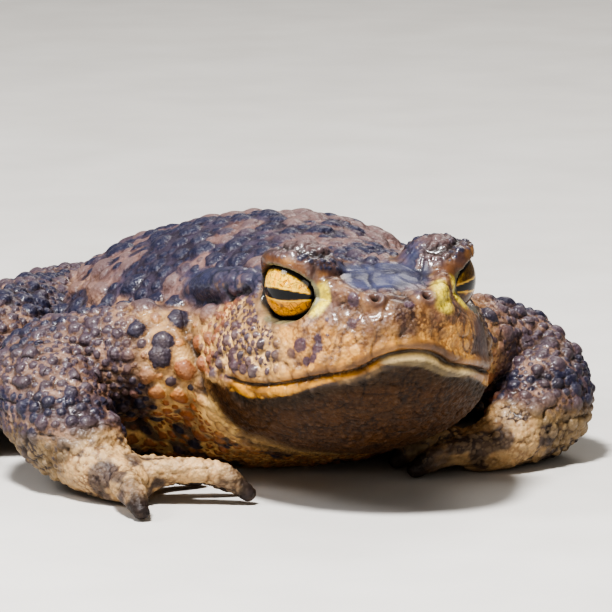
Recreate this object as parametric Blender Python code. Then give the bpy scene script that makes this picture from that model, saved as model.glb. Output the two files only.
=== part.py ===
"""A common toad (Bufo bufo), an adult female at rest, as a still life-size model.

The toad looks along -Y, its left side is +X and +Z is up. It crouches on a flat floor at
z = 0, on its belly, hands and feet. The tables below are in millimetres, with y measured
back from a point between the nostrils. The finished parts are moved so that the origin is
on the floor under the middle of the whole animal.
"""

import math

import bmesh
import bpy
import numpy as np
from mathutils import Matrix, Vector
from mathutils.bvhtree import BVHTree

MM = 0.001
GAP = 0.3 * MM
WART_SEED = 7

# Driving sizes, in millimetres.
SNOUT_TIP = -3.2
VENT = 92.0
HEAD_HALF_WIDTH = 16.8
HEAD_REACH = 28.0
HEAD_ROUNDNESS = 2.3
EYE_RADIUS = 4.5
EYE_CENTRE = (8.3, 10.0, 26.1)
EYE_LOOKS = (0.90, -0.42, 0.06)
EYE_OPENING = (4.6, 3.0)
OPENING_SET = (-0.35, -0.45)
NOSTRIL = (2.9, -0.3, 25.8)
NOSTRIL_FACES = (0.55, -0.55, 0.63)
MOUTH_CORNER = 14.5
LIP_SWEEP = 84
LIP_CENTRE = 12.0
ORBIT_RADIUS = 5.35
NECK = (27.5, 17.0)
NECK_LEAN = 30.0
JAW_BACK = [(20.0, 11.8), (26.0, 8.0), (34.0, 3.0)]

# Triangles that each kind of node keeps before it is cut.
HEAD_TRIANGLES = 2500
TORSO_TRIANGLES = 1700
LIMB_TRIANGLES = 220
HAND_TRIANGLES = 440
FOOT_TRIANGLES = 540

# The core, from snout to vent: y, half width, top, widest level, bottom, squareness above and below.
# The half width of the head comes from a formula, so the first rows leave it out.
CORE = [
    (-3.2, None, 22.8, 21.8, 20.8, 2.2, 2.2),
    (-2.6, None, 24.3, 21.0, 18.4, 2.2, 2.2),
    (-1.4, None, 25.4, 19.9, 15.6, 2.2, 2.2),
    (0.0, None, 26.2, 18.9, 13.2, 2.2, 2.1),
    (4.0, None, 27.6, 17.2, 9.4, 2.3, 2.1),
    (8.5, None, 28.5, 15.9, 6.8, 2.3, 2.1),
    (14.0, None, 28.8, 14.9, 5.2, 2.2, 2.1),
    (21.0, None, 28.7, 14.0, 4.0, 2.1, 2.2),
    (29.0, 18.0, 29.2, 13.4, 1.6, 2.0, 2.3),
    (37.0, 21.2, 29.9, 12.4, -0.6, 2.0, 2.4),
    (46.0, 24.2, 29.4, 11.6, -1.2, 2.0, 2.5),
    (56.0, 25.2, 27.6, 11.0, -1.2, 2.0, 2.5),
    (66.0, 23.6, 25.4, 10.8, -0.8, 2.0, 2.4),
    (76.0, 19.2, 22.6, 10.6, 0.2, 2.0, 2.3),
    (84.0, 13.6, 18.8, 10.2, 2.0, 2.0, 2.2),
    (89.5, 7.2, 14.4, 9.4, 4.4, 2.0, 2.0),
    (92.0, 0.6, 9.8, 9.0, 8.2, 2.0, 2.0),
]

# The line of the mouth from snout to corner: y, height.
MOUTH = [(-3.2, 20.2), (-2.4, 19.1), (-1.6, 18.1), (1.1, 17.0), (5.7, 15.6), (11.0, 14.9), (14.5, 15.1)]

# Forms on the head as x, y, z and radius along their length.
CANTHUS = [(7.1, 5.0, 26.3, 1.5), (5.3, 1.8, 25.9, 1.2), (3.9, -0.3, 25.2, 1.0)]
PAROTOID = [
    (10.4, 16.5, 25.2, 1.6),
    (11.6, 21.0, 25.0, 2.3),
    (12.8, 26.0, 24.2, 2.6),
    (13.6, 31.0, 23.0, 2.1),
]
# A lid as first and last angle, radius, distance from the eye's middle, and reach past the opening.
UPPER_LID = (8, 172, 1.0, 5.0, 0.8)
LOWER_LID = (188, 352, 0.6, 5.2, 0.45)
# The cone that opens the lids, as depth out of the eye's middle and share of the opening.
LID_CONE = [(1.2, 0.90), (3.4, 1.04), (9.0, 1.45)]
# A lip as height over the mouth's line, radius and depth in the skin.
UPPER_LIP = (1.0, 0.9, 0.6)
LOWER_LIP = (-1.0, 0.8, 0.55)
NOSTRIL_RIM = (1.5, 1.3, 1.3)
RIM_SUNK = 0.45
NOSTRIL_PIT = (0.65, 0.65, 0.9)
PIT_RAISED = 0.1

# Forms of the trunk under the skin, in the same way.
HIP = [(5.5, 56, 21.6, 5), (8.5, 67, 18.6, 5), (10, 78, 14, 4.5)]
FLANK = [(19, 44, 8, 7), (20.5, 54, 7.4, 7.4), (18.5, 64, 7.6, 7)]

# Limbs as x, y, z and radius along their length. x is measured outwards from the midline.
UPPER_ARM = {
    "right": [(13, 29, 14.3, 6.3), (19, 33, 14.4, 6.8), (25.5, 38, 13.0, 6.8), (30.2, 40, 12.0, 6.5)],
    "left": [(13, 29, 14.3, 6.3), (19, 33, 14.0, 6.4), (25, 36.6, 12.6, 6.1), (28.6, 38, 11.8, 5.9)],
}
FOREARM = {
    "right": [(30.4, 40, 11.8, 6.4), (31.4, 35.5, 10.2, 6.7), (31.4, 30, 7.8, 6.0), (29.8, 25.4, 5.2, 4.7)],
    "left": [(28.8, 37.6, 11.4, 5.9), (29.8, 34, 8.6, 6.5), (28.6, 29.6, 6.4, 6.3), (25.6, 26.6, 4.9, 4.8)],
}
PALM = {
    "right": [(29.8, 25.8, 4.8, 4.6), (28.6, 22.3, 3.6, 4.4), (26.6, 18.8, 2.7, 3.6)],
    "left": [(25.4, 26.8, 4.6, 4.5), (22.4, 24.8, 3.6, 4.4), (18.9, 24.2, 2.7, 3.6)],
}
FINGERS = {
    "right": {
        "1": [(25.5, 23.5, 2.8, 1.9), (21, 24.6, 2.8, 1.6), (18, 25.4, 1.9, 1.4), (16.2, 25.8, 1.1, 1.1)],
        "2": [(25.5, 21, 3.0, 1.8), (20, 20, 3.4, 1.5), (15.8, 19.4, 2.4, 1.3), (14.2, 19.2, 1.2, 1.0)],
        "3": [(25.5, 19, 3.2, 1.8), (20, 16.3, 4.0, 1.5), (16, 14.6, 3.3, 1.4), (13.8, 13.7, 1.3, 1.05)],
        "4": [(27.6, 19, 3.0, 2.0), (28.5, 14.5, 3.1, 1.75), (28.7, 10.8, 2.4, 1.6), (28.6, 8.4, 1.3, 1.2)],
    },
    "left": {
        "1": [(22, 27, 2.8, 1.9), (20.5, 30, 2.8, 1.6), (19.2, 32.5, 1.9, 1.4), (18.6, 34, 1.1, 1.1)],
        "2": [(20.5, 26, 3.0, 1.8), (17, 28.5, 3.2, 1.5), (14.2, 31, 2.3, 1.3), (13.2, 32.2, 1.2, 1.0)],
        "3": [(19.5, 25, 3.2, 1.8), (15, 26, 3.6, 1.5), (11.4, 27.4, 2.4, 1.3), (9.8, 28.2, 1.2, 1.0)],
        "4": [(19.2, 23, 3.0, 2.0), (15.4, 22, 3.1, 1.7), (12.0, 22, 2.3, 1.45), (10.2, 22.4, 1.2, 1.15)],
    },
}
THIGH = {
    "right": [(9, 81, 11.4, 6.4), (17, 73, 11.8, 7.9), (26, 63, 12.2, 7.6), (32, 55, 12.0, 6.4)],
    "left": [(9, 81, 10.6, 6.4), (17, 73, 9.6, 7.6), (26, 63, 8.6, 7.2), (31.5, 55, 7.9, 6.2)],
}
SHANK = {
    "right": [
        (32.4, 54.5, 11.2, 6.0),
        (34.6, 61, 9.9, 6.4),
        (33.8, 70, 8.8, 5.7),
        (30, 79, 7.6, 4.4),
        (27.6, 84.6, 6.6, 3.8),
    ],
    "left": [
        (32, 54.5, 7.8, 5.8),
        (34.8, 62, 7.6, 6.1),
        (33.6, 72, 7.4, 5.4),
        (29.6, 82.5, 7.0, 4.2),
        (27, 88, 6.4, 3.7),
    ],
}
TARSUS = {
    "right": [(28.2, 86.2, 4.1, 3.5), (33.4, 81, 3.4, 3.3), (37, 73.4, 3.0, 3.5), (38.4, 64, 2.4, 4.1)],
    "left": [(27.6, 89.4, 4.1, 3.4), (32.4, 84.6, 3.4, 3.2), (36, 77.4, 3.0, 3.4), (37.1, 68.4, 2.4, 4.1)],
}
# Toes of the right foot. The left foot is set down further back and further in.
LEFT_TOES_SHIFT = (-1.3, 4.8)
TOES = {
    "1": [(36.4, 64, 2.2, 1.8), (35, 59.5, 1.8, 1.4), (34.2, 56.5, 1.1, 1.0)],
    "2": [(37, 63, 2.2, 1.8), (35.8, 56.5, 2.0, 1.4), (35, 51.5, 1.1, 1.0)],
    "3": [(37.8, 62, 2.2, 1.9), (37, 53.5, 2.2, 1.5), (36.6, 49, 1.7, 1.3), (36.4, 45.5, 1.1, 1.0)],
    "4": [(38.6, 62, 2.2, 2.0), (39.2, 52, 2.2, 1.6), (39.8, 44, 1.7, 1.35), (40.2, 38, 1.1, 1.0)],
    "5": [(39.2, 64, 2.2, 1.8), (41, 57, 1.9, 1.4), (42, 51, 1.1, 1.0)],
}
# Webs between the toes: share of the toes' length, thickness, middle height, and how hollow the edge is.
WEB_SHARE = 0.55
WEB_THICKNESS = 0.9
WEB_HEIGHT = 1.1
WEB_HOLLOW = 0.22

# Warts: how many on each kind of node, and their radii in millimetres.
HEAD_WARTS = 30
TORSO_WARTS = 66
LIMB_WARTS = 8
CHEEK_WART = 1.1
NAPE_WART = 1.25
BACK_WART = 1.9
FLANK_WART = 1.6
BELLY_WART = 1.2
LIMB_WART = 1.25
# One wart's shape: share of its radius and height over the skin at each ring, and its crown's height.
WART_SIDES = 6
WART_RINGS = ((1.0, -0.35), (0.78, 0.26))
WART_CROWN = 0.17
WART_SPACING = 1.15
WART_CLEARANCE = 0.9
LOWEST_WART = 4.0
TRIES_PER_WART = 60
# Plain skin round the eyes, on the snout and on the glands.
PLAIN_BY_EYE = 2.6
PLAIN_SNOUT = 5.0
PLAIN_BY_GLAND = 4.6
SIDES = {"right": -1, "left": 1}

# Cutting shapes reach this far, clear of the whole animal.
BEYOND = 60.0
SHARP_ANGLE = 50

# Colours of the plain materials.
SKIN = (0.21, 0.155, 0.105)
PALE_SKIN = (0.34, 0.26, 0.16)
GOLD = (0.62, 0.36, 0.06)


def hermite(knots, at):
    """Rows of numbers read from knots at the parameters given, by a cubic that doesn't overshoot."""
    knots = np.asarray(knots, float)
    x, y = knots[:, 0], knots[:, 1:]
    step = np.diff(x)[:, None]
    slope = np.diff(y, axis=0) / step
    tangent = np.vstack([slope[:1], (slope[1:] + slope[:-1]) / 2, slope[-1:]])
    flat = slope[1:] * slope[:-1] <= 0
    tangent[1:-1][flat] = 0
    limit = 3 * np.minimum(np.abs(np.vstack([slope, slope[-1:]])), np.abs(np.vstack([slope[:1], slope])))
    tangent = np.clip(tangent, -limit, limit)
    i = np.clip(np.searchsorted(x, at, side="right") - 1, 0, len(x) - 2)
    t = ((at - x[i]) / (x[i + 1] - x[i]))[:, None]
    h = step[i]
    return (
        (2 * t**3 - 3 * t**2 + 1) * y[i]
        + (t**3 - 2 * t**2 + t) * h * tangent[i]
        + (3 * t**2 - 2 * t**3) * y[i + 1]
        + (t**3 - t**2) * h * tangent[i + 1]
    )


def head_half_width(y):
    """Half the head's width: the top view of the snout and jaws is one broad rounded outline."""
    share = np.clip((np.asarray(y, float) - SNOUT_TIP) / HEAD_REACH, 0, 1)
    return HEAD_HALF_WIDTH * np.sqrt(1 - (1 - share) ** HEAD_ROUNDNESS)


def core_rows(y):
    """The core's rows at the distances y behind the nostrils."""
    table = [(row[0], head_half_width(row[0]) if row[1] is None else row[1], *row[2:]) for row in CORE]
    rows = hermite(table, np.asarray(y, float))
    head = np.asarray(y) < CORE[7][0]
    rows[head, 0] = head_half_width(np.asarray(y)[head])
    return rows


def mesh_object(name, points, faces):
    mesh = bpy.data.meshes.new(name)
    mesh.from_pydata([Vector(p) * MM for p in points], [], faces)
    mesh.update()
    thing = bpy.data.objects.new(name, mesh)
    bpy.context.scene.collection.objects.link(thing)
    return thing


def skin_rings(name, rings):
    """A closed surface through rings of as many points each, with a point closing each end."""
    count = len(rings[0])
    points = [p for ring in rings for p in ring]
    first, last = len(points), len(points) + 1
    points += [np.mean(rings[0], axis=0), np.mean(rings[-1], axis=0)]
    faces = []
    for i in range(count):
        j = (i + 1) % count
        faces.append((first, j, i))
        for k in range(len(rings) - 1):
            a, b = k * count, (k + 1) * count
            faces.append((a + i, a + j, b + j, b + i))
        end = (len(rings) - 1) * count
        faces.append((last, end + i, end + j))
    thing = mesh_object(name, points, faces)
    face_out(thing)
    return thing


def face_out(thing):
    edit = bmesh.new()
    edit.from_mesh(thing.data)
    bmesh.ops.recalc_face_normals(edit, faces=edit.faces)
    if edit.calc_volume(signed=True) < 0:
        bmesh.ops.reverse_faces(edit, faces=edit.faces)
    edit.to_mesh(thing.data)
    edit.free()


def core(name, first, last):
    """Head and trunk as one lofted body, with rings set closer where the snout and rump close."""
    count = 56
    angles = np.linspace(0, 2 * math.pi, count, endpoint=False)
    cosine, sine = np.cos(angles), np.sin(angles)
    share = np.linspace(0, 1, 70)
    spaced = (1 - np.cos(math.pi * share)) / 2
    at = first + 0.02 + (last - first - 0.04) * (0.35 * share + 0.65 * spaced)
    rings = []
    for y, row in zip(at, core_rows(at)):
        half_width, top, middle, bottom, above, below = row
        square = np.where(sine >= 0, above, below)
        height = np.where(sine >= 0, top - middle, middle - bottom)
        x = half_width * np.sign(cosine) * np.abs(cosine) ** (2 / square)
        z = middle + height * np.sign(sine) * np.abs(sine) ** (2 / square)
        rings.append(np.stack([x, np.full(count, y), z], axis=1))
    return skin_rings(name, rings)


def tube(name, knots, side=1, flat=1.0, count=16, steps=5):
    """A round-ended limb along x, y, z and radius knots. flat squashes it in height."""
    knots = np.asarray(knots, float)
    apart = np.linalg.norm(np.diff(knots[:, :3], axis=0), axis=1)
    along = np.concatenate([[0], np.cumsum(apart)])
    read = np.linspace(0, along[-1], steps * (len(knots) - 1) + 1)
    line = hermite(np.column_stack([along, knots]), read)
    line[:, 0] *= side
    points, radii = line[:, :3], line[:, 3]
    tangent = np.gradient(points, read, axis=0)
    tangent /= np.linalg.norm(tangent, axis=1)[:, None]
    across = np.cross(tangent, [0, 0, 1.0])
    across /= np.linalg.norm(across, axis=1)[:, None]
    upward = np.cross(across, tangent)
    turn = np.linspace(0, 2 * math.pi, count, endpoint=False)
    rings = []

    def ring(centre, i, radius):
        a, u = across[i] * radius, upward[i] * radius * flat
        rings.append(centre + np.cos(turn)[:, None] * a + np.sin(turn)[:, None] * u)

    caps = np.radians([10, 35, 60])
    for angle in caps:
        ring(points[0] - tangent[0] * radii[0] * flat * math.cos(angle), 0, radii[0] * math.sin(angle))
    for i in range(len(points)):
        ring(points[i], i, radii[i])
    for angle in caps[::-1]:
        ring(points[-1] + tangent[-1] * radii[-1] * flat * math.cos(angle), -1, radii[-1] * math.sin(angle))
    return skin_rings(name, rings)


def ellipsoid(name, centre, radii, detail=3):
    edit = bmesh.new()
    bmesh.ops.create_icosphere(edit, subdivisions=detail, radius=1)
    shape = Matrix.Diagonal(Vector(radii) * MM).to_4x4()
    edit.transform(Matrix.Translation(Vector(centre) * MM) @ shape)
    mesh = bpy.data.meshes.new(name)
    edit.to_mesh(mesh)
    edit.free()
    thing = bpy.data.objects.new(name, mesh)
    bpy.context.scene.collection.objects.link(thing)
    return thing


def baked(thing):
    """The object with its modifiers applied."""
    bpy.context.view_layer.update()
    graph = bpy.context.evaluated_depsgraph_get()
    mesh = bpy.data.meshes.new_from_object(thing.evaluated_get(graph))
    old = thing.data
    thing.modifiers.clear()
    thing.data = mesh
    bpy.data.meshes.remove(old)
    mesh.name = thing.name
    return thing


def removed(*things):
    for thing in things:
        mesh = thing.data
        bpy.data.objects.remove(thing)
        bpy.data.meshes.remove(mesh)


def joined(name, pieces):
    edit = bmesh.new()
    for piece in pieces:
        edit.from_mesh(piece.data)
    mesh = bpy.data.meshes.new(name)
    edit.to_mesh(mesh)
    edit.free()
    removed(*pieces)
    thing = bpy.data.objects.new(name, mesh)
    bpy.context.scene.collection.objects.link(thing)
    return thing


def fused(name, pieces, voxel, rounds, triangles):
    """The pieces melted into one smooth skin, then thinned to about so many triangles."""
    thing = joined(name, pieces)
    melt = thing.modifiers.new("melt", "REMESH")
    melt.mode = "VOXEL"
    melt.voxel_size = voxel * MM
    soften = thing.modifiers.new("soften", "SMOOTH")
    soften.factor = 0.5
    soften.iterations = rounds
    thing.modifiers.new("split", "TRIANGULATE")
    baked(thing)
    thin = thing.modifiers.new("thin", "DECIMATE")
    thin.ratio = min(1.0, triangles / len(thing.data.polygons))
    baked(thing)
    return thing


def largest(thing):
    """Keeps only the largest closed surface of a mesh."""
    edit = bmesh.new()
    edit.from_mesh(thing.data)
    left = set(edit.verts)
    groups = []
    while left:
        found, rim = set(), [left.pop()]
        while rim:
            vertex = rim.pop()
            found.add(vertex)
            for link in vertex.link_edges:
                other = link.other_vert(vertex)
                if other in left:
                    left.remove(other)
                    rim.append(other)
        groups.append(found)

    def span(group):
        corners = np.array([v.co for v in group])
        return float(np.prod(corners.max(axis=0) - corners.min(axis=0)))

    groups.sort(key=span)
    for group in groups[:-1]:
        bmesh.ops.delete(edit, geom=list(group), context="VERTS")
    edit.to_mesh(thing.data)
    edit.free()
    return thing


def boolean(thing, other, operation):
    change = thing.modifiers.new("change", "BOOLEAN")
    change.operation = operation
    change.object = other
    return baked(thing)


def cut(thing, *others):
    """Cuts helper shapes out of a mesh and removes them."""
    for other in others:
        boolean(thing, other, "DIFFERENCE")
        removed(other)
    return thing


def grown(thing, by):
    """A copy of a closed mesh, swollen along its normals."""
    swollen = bpy.data.objects.new(thing.name + "_clearance", thing.data.copy())
    bpy.context.scene.collection.objects.link(swollen)
    swell = swollen.modifiers.new("swell", "DISPLACE")
    swell.mid_level = 0
    swell.strength = by
    return baked(swollen)


def floored(thing):
    """Cuts off what lies below the floor, which leaves small flats at z = 0."""
    low = min(v.co.z for v in thing.data.vertices)
    if low >= 0:
        return thing
    edit = bmesh.new()
    bmesh.ops.create_cube(edit, size=1)
    bmesh.ops.scale(edit, verts=edit.verts, vec=(0.3, 0.3, 0.1))
    bmesh.ops.translate(edit, verts=edit.verts, vec=(0, 0.05, -0.05))
    mesh = bpy.data.meshes.new("below_floor")
    edit.to_mesh(mesh)
    edit.free()
    below = bpy.data.objects.new("below_floor", mesh)
    bpy.context.scene.collection.objects.link(below)
    return cut(thing, below)


def prism(name, outline, half_width):
    """A closed outline in y and z, given in millimetres and order, extruded across the animal."""
    count = len(outline)
    points = [(x, y, z) for x in (-half_width, half_width) for y, z in outline]
    faces = [tuple(range(count)), tuple(range(count, 2 * count))]
    faces += [(i, (i + 1) % count, count + (i + 1) % count, count + i) for i in range(count)]
    thing = mesh_object(name, points, faces)
    face_out(thing)
    return thing


def ribbon(name, line, thickness, half_width):
    """A thin curtain that follows a line in y and z and runs across the whole animal."""
    line = np.asarray(line, float)
    along = np.gradient(line, axis=0)
    normal = np.column_stack([-along[:, 1], along[:, 0]])
    normal /= np.linalg.norm(normal, axis=1)[:, None]
    outline = np.vstack([line + normal * thickness / 2, (line - normal * thickness / 2)[::-1]])
    return prism(name, outline, half_width)


def neck_side(name, front):
    """A block that fills the space in front of the neck, or the space behind it, up to half the gap."""
    lean = math.radians(NECK_LEAN)
    across = np.array([math.cos(lean), -math.sin(lean)])
    along = np.array([math.sin(lean), math.cos(lean)])
    way = -1 if front else 1
    start = np.array(NECK) - way * across * GAP / MM / 2
    low, high = start - along * BEYOND, start + along * BEYOND
    away = way * across * 2 * BEYOND
    return prism(name, [low, high, high + away, low + away], BEYOND)


def eye_axes(side):
    """Where an eye looks, and the long and the short way of its opening."""
    looks = Vector((side * EYE_LOOKS[0], EYE_LOOKS[1], EYE_LOOKS[2])).normalized()
    ahead = Vector((0, -1, 0))
    ahead = (ahead - looks * ahead.dot(looks)).normalized()
    upward = ahead.cross(looks) * side
    if upward.z < 0:
        upward.negate()
    return looks, ahead, upward


def eye_centre(side):
    return Vector((side * EYE_CENTRE[0], EYE_CENTRE[1], EYE_CENTRE[2]))


def opening_centre(side):
    """The lids open a little behind and below the middle of the eye."""
    _, ahead, upward = eye_axes(side)
    return eye_centre(side) + ahead * OPENING_SET[0] + upward * OPENING_SET[1]


def lid(name, side, first, last, radius, out, spread):
    """A roll of skin along one edge of an eye's opening. Angles run from the front corner upwards."""
    looks, ahead, upward = eye_axes(side)
    centre = opening_centre(side)
    knots = []
    for degrees in np.linspace(first, last, 9):
        angle = math.radians(degrees)
        across = ahead * math.cos(angle) * (EYE_OPENING[0] + spread)
        across += upward * math.sin(angle) * (EYE_OPENING[1] + spread)
        depth = math.sqrt(max(out**2 - across.length_squared, 0))
        point = centre + across + looks * depth
        ease = math.sin(math.pi * (degrees - first) / (last - first))
        knots.append((*point, radius * (0.45 + 0.55 * ease**0.6)))
    return tube(name, knots, count=10, steps=3)


def opening(name, side):
    """The cone that opens the lids over an eye."""
    looks, ahead, upward = eye_axes(side)
    centre = opening_centre(side)
    rings = []
    for depth, wide in LID_CONE:
        ring = []
        for angle in np.linspace(0, 2 * math.pi, 20, endpoint=False):
            point = centre + looks * depth
            point += ahead * math.cos(angle) * EYE_OPENING[0] * wide
            point += upward * math.sin(angle) * EYE_OPENING[1] * wide
            ring.append(tuple(point))
        rings.append(np.array(ring))
    return skin_rings(name, rings)


def mouth_height(y):
    return float(hermite(MOUTH, np.array([min(y, MOUTH_CORNER)]))[0, 0])


def lips_path(tree, above, count=21):
    """Points around the snout, a height above the mouth's line, on a surface given as a BVH tree."""
    points = []
    for angle in np.radians(np.linspace(-LIP_SWEEP, LIP_SWEEP, count)):
        height = 16.5
        for _ in range(4):
            start = Vector((0, LIP_CENTRE, height)) * MM
            hit = tree.ray_cast(start, Vector((math.sin(angle), -math.cos(angle), 0)))[0]
            height = mouth_height(hit.y / MM) + above
        points.append(hit / MM)
    return points


def lip(name, tree, above, radius, sunk):
    """A soft roll that follows the mouth from corner to corner."""
    knots = []
    path = lips_path(tree, above)
    for i, point in enumerate(path):
        inward = Vector((-point.x, LIP_CENTRE - point.y, 0)).normalized()
        ease = math.sin(math.pi * (i + 0.5) / len(path)) ** 0.5
        knots.append((*(point + inward * sunk), radius * (0.5 + 0.5 * ease)))
    return tube(name, knots, count=10, steps=2)


def head_forms(tree):
    """The swellings of the head: orbits, lids, snout ridges, nostril rims, parotoid glands and lips."""
    forms = []
    for word, side in SIDES.items():
        forms.append(ellipsoid(f"orbit_{word}", eye_centre(side), [ORBIT_RADIUS] * 3))
        forms.append(tube(f"canthus_{word}", CANTHUS, side))
        forms.append(tube(f"parotoid_{word}", PAROTOID, side, flat=0.8))
        forms.append(lid(f"upper_lid_{word}", side, *UPPER_LID))
        forms.append(lid(f"lower_lid_{word}", side, *LOWER_LID))
        rim = on_surface(tree, *nostril_line(side), -RIM_SUNK)
        forms.append(ellipsoid(f"nostril_rim_{word}", rim, NOSTRIL_RIM))
    forms.append(lip("upper_lip", tree, *UPPER_LIP))
    forms.append(lip("lower_lip", tree, *LOWER_LIP))
    return forms


def nostril_line(side):
    """A nostril's place and the way it faces."""
    return Vector((side * NOSTRIL[0], *NOSTRIL[1:])), Vector((side * NOSTRIL_FACES[0], *NOSTRIL_FACES[1:]))


def on_surface(tree, place, outward, above):
    """The point of a surface that lies along outward from a place, raised by a height above it."""
    start = (place + outward * 8) * MM
    hit = tree.ray_cast(start, -outward)[0]
    return hit / MM + outward * above


def tree_of(thing):
    edit = bmesh.new()
    edit.from_mesh(thing.data)
    tree = BVHTree.FromBMesh(edit)
    edit.free()
    return tree


def make_head_and_torso(nodes, clearances):
    """The core, cut into head, jaw and torso, with sockets, nostrils and the line of the mouth."""
    bare = core("bare", SNOUT_TIP, NECK[0] + 14)
    tree = tree_of(bare)
    head = fused("head", [bare, *head_forms(tree)], 0.45, 4, HEAD_TRIANGLES)
    clearances["head"] = grown(head, GAP)
    floored(head)
    cut(head, neck_side("behind_neck", front=False))
    for word, side in SIDES.items():
        socket = ellipsoid("socket", eye_centre(side), [EYE_RADIUS + GAP / MM] * 3)
        cut(head, socket, opening("opening", side))
        pit = on_surface(tree_of(head), *nostril_line(side), PIT_RAISED)
        cut(head, ellipsoid("pit", pit, NOSTRIL_PIT, detail=2))
    before_snout = (SNOUT_TIP - 5, MOUTH[0][1] + 0.5)
    between_lips = [(y, mouth_height(y)) for y in np.linspace(SNOUT_TIP - 0.2, MOUTH_CORNER, 12)]
    line = [before_snout, *between_lips, *JAW_BACK]
    cut(head, ribbon("mouth_line", line, GAP / MM, BEYOND))
    jaw = bpy.data.objects.new("jaw", head.data.copy())
    bpy.context.scene.collection.objects.link(jaw)
    below = [*line, (BEYOND, -BEYOND), (-BEYOND, -BEYOND), (-BEYOND, before_snout[1])]
    below_mouth = prism("below_mouth", below, BEYOND)
    boolean(head, below_mouth, "DIFFERENCE")
    boolean(jaw, below_mouth, "INTERSECT")
    removed(below_mouth)
    torso = fused("torso", [core("trunk", NECK[0] - 14, VENT), *torso_forms()], 0.8, 4, TORSO_TRIANGLES)
    clearances["torso"] = grown(torso, GAP)
    floored(torso)
    cut(torso, neck_side("before_neck", front=True))
    nodes.update(head=largest(head), jaw=largest(jaw), torso=largest(torso))


def torso_forms():
    """The hips under the skin of the back, and the soft flanks behind the arms."""
    forms = []
    for word, side in SIDES.items():
        forms.append(tube(f"hip_{word}", HIP, side))
        forms.append(tube(f"flank_{word}", FLANK, side))
    return forms


def web(name, first, second, side):
    """A thin skin between two toes, out to a share of their length, with a hollow front edge."""
    inner, outer = toe_line(first), toe_line(second)
    rows, across = 5, 4
    upper, lower = [], []
    for i in range(rows):
        out = i / (rows - 1)
        for j in range(across):
            mix = j / (across - 1)
            share = WEB_SHARE * out * (1 - WEB_HOLLOW * math.sin(math.pi * mix) * out)
            x, y = (inner(share) * (1 - mix) + outer(share) * mix)[:2]
            upper.append((side * x, y, WEB_HEIGHT + WEB_THICKNESS / 2))
            lower.append((side * x, y, WEB_HEIGHT - WEB_THICKNESS / 2))
    points = upper + lower
    half = len(upper)
    number = np.arange(half).reshape(rows, across)
    faces = []
    for i in range(rows - 1):
        for j in range(across - 1):
            corners = [int(number[i + a, j + b]) for a, b in ((0, 0), (0, 1), (1, 1), (1, 0))]
            faces += [tuple(corners), tuple(half + corner for corner in corners)]
    edge = [*number[0], *number[1:, -1], *number[-1, -2::-1], *number[-2:0:-1, 0]]
    for a, b in zip(edge, edge[1:] + edge[:1]):
        faces.append((int(a), int(b), int(half + b), int(half + a)))
    thing = mesh_object(name, points, faces)
    face_out(thing)
    return thing


def toe_line(knots):
    """A toe's middle line, read by the share of its length."""
    knots = np.asarray(knots, float)
    apart = np.linalg.norm(np.diff(knots[:, :3], axis=0), axis=1)
    along = np.concatenate([[0], np.cumsum(apart)])
    table = np.column_stack([along / along[-1], knots])
    return lambda share: hermite(table, np.array([share]))[0]


def toes_of(word):
    """The five toes of a foot, from the inner one."""
    x, y = LEFT_TOES_SHIFT if word == "left" else (0, 0)
    return [[(knot[0] + x, knot[1] + y, *knot[2:]) for knot in toe] for toe in TOES.values()]


def make_limbs(nodes, clearances):
    """Arms and legs, each piece cut clear of the pieces that it grows from or touches."""

    def fitted(name, pieces, voxel, triangles, touched):
        thing = fused(name, pieces, voxel, 3, triangles)
        clearances[name] = grown(thing, GAP)
        for neighbour in touched:
            boolean(thing, clearances[neighbour], "DIFFERENCE")
        floored(thing)
        nodes[name] = largest(thing)

    for word, side in SIDES.items():
        upper_arm, forearm, hand = (f"{piece}_{word}" for piece in ("upper_arm", "forearm", "hand"))
        thigh, shank, foot = (f"{piece}_{word}" for piece in ("thigh", "shank", "foot"))
        fitted(upper_arm, [tube("shoulder", UPPER_ARM[word], side)], 0.7, LIMB_TRIANGLES, ["torso", "head"])
        shape = [tube("elbow", FOREARM[word], side)]
        fitted(forearm, shape, 0.7, LIMB_TRIANGLES, ["torso", "head", upper_arm])
        shape = [tube("palm", PALM[word], side, flat=0.75)]
        shape += [tube(f"finger_{number}", knots, side, count=12) for number, knots in FINGERS[word].items()]
        fitted(hand, shape, 0.4, HAND_TRIANGLES, ["torso", "head", forearm])
        fitted(thigh, [tube("leg", THIGH[word], side)], 0.7, LIMB_TRIANGLES, ["torso", upper_arm])
        fitted(shank, [tube("shin", SHANK[word], side)], 0.7, LIMB_TRIANGLES, ["torso", thigh])
        toes = toes_of(word)
        shape = [tube("tarsus", TARSUS[word], side, flat=0.85)]
        shape += [tube(f"toe_{i + 1}", knots, side, count=12) for i, knots in enumerate(toes)]
        shape += [web(f"web_{i}", toes[i], toes[i + 1], side) for i in range(4)]
        fitted(foot, shape, 0.4, FOOT_TRIANGLES, ["torso", thigh, shank])


def wart(name, place, outward, radius, draw):
    """A low, uneven dome whose root reaches into the skin."""
    across = outward.orthogonal().normalized()
    along = outward.cross(across)
    start = draw.uniform(0, math.pi)
    uneven = draw.uniform(0.88, 1.12, WART_SIDES)
    rings = []
    for wide, high in WART_RINGS:
        ring = []
        for i in range(WART_SIDES):
            angle = start + 2 * math.pi * i / WART_SIDES
            reach = radius * wide * uneven[i]
            point = place + across * math.cos(angle) * reach + along * math.sin(angle) * reach
            ring.append(tuple(point + outward * radius * high))
        rings.append(np.array(ring))
    thing = skin_rings(name, rings)
    thing.data.vertices[-1].co += outward * radius * WART_CROWN * MM
    return thing


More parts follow.
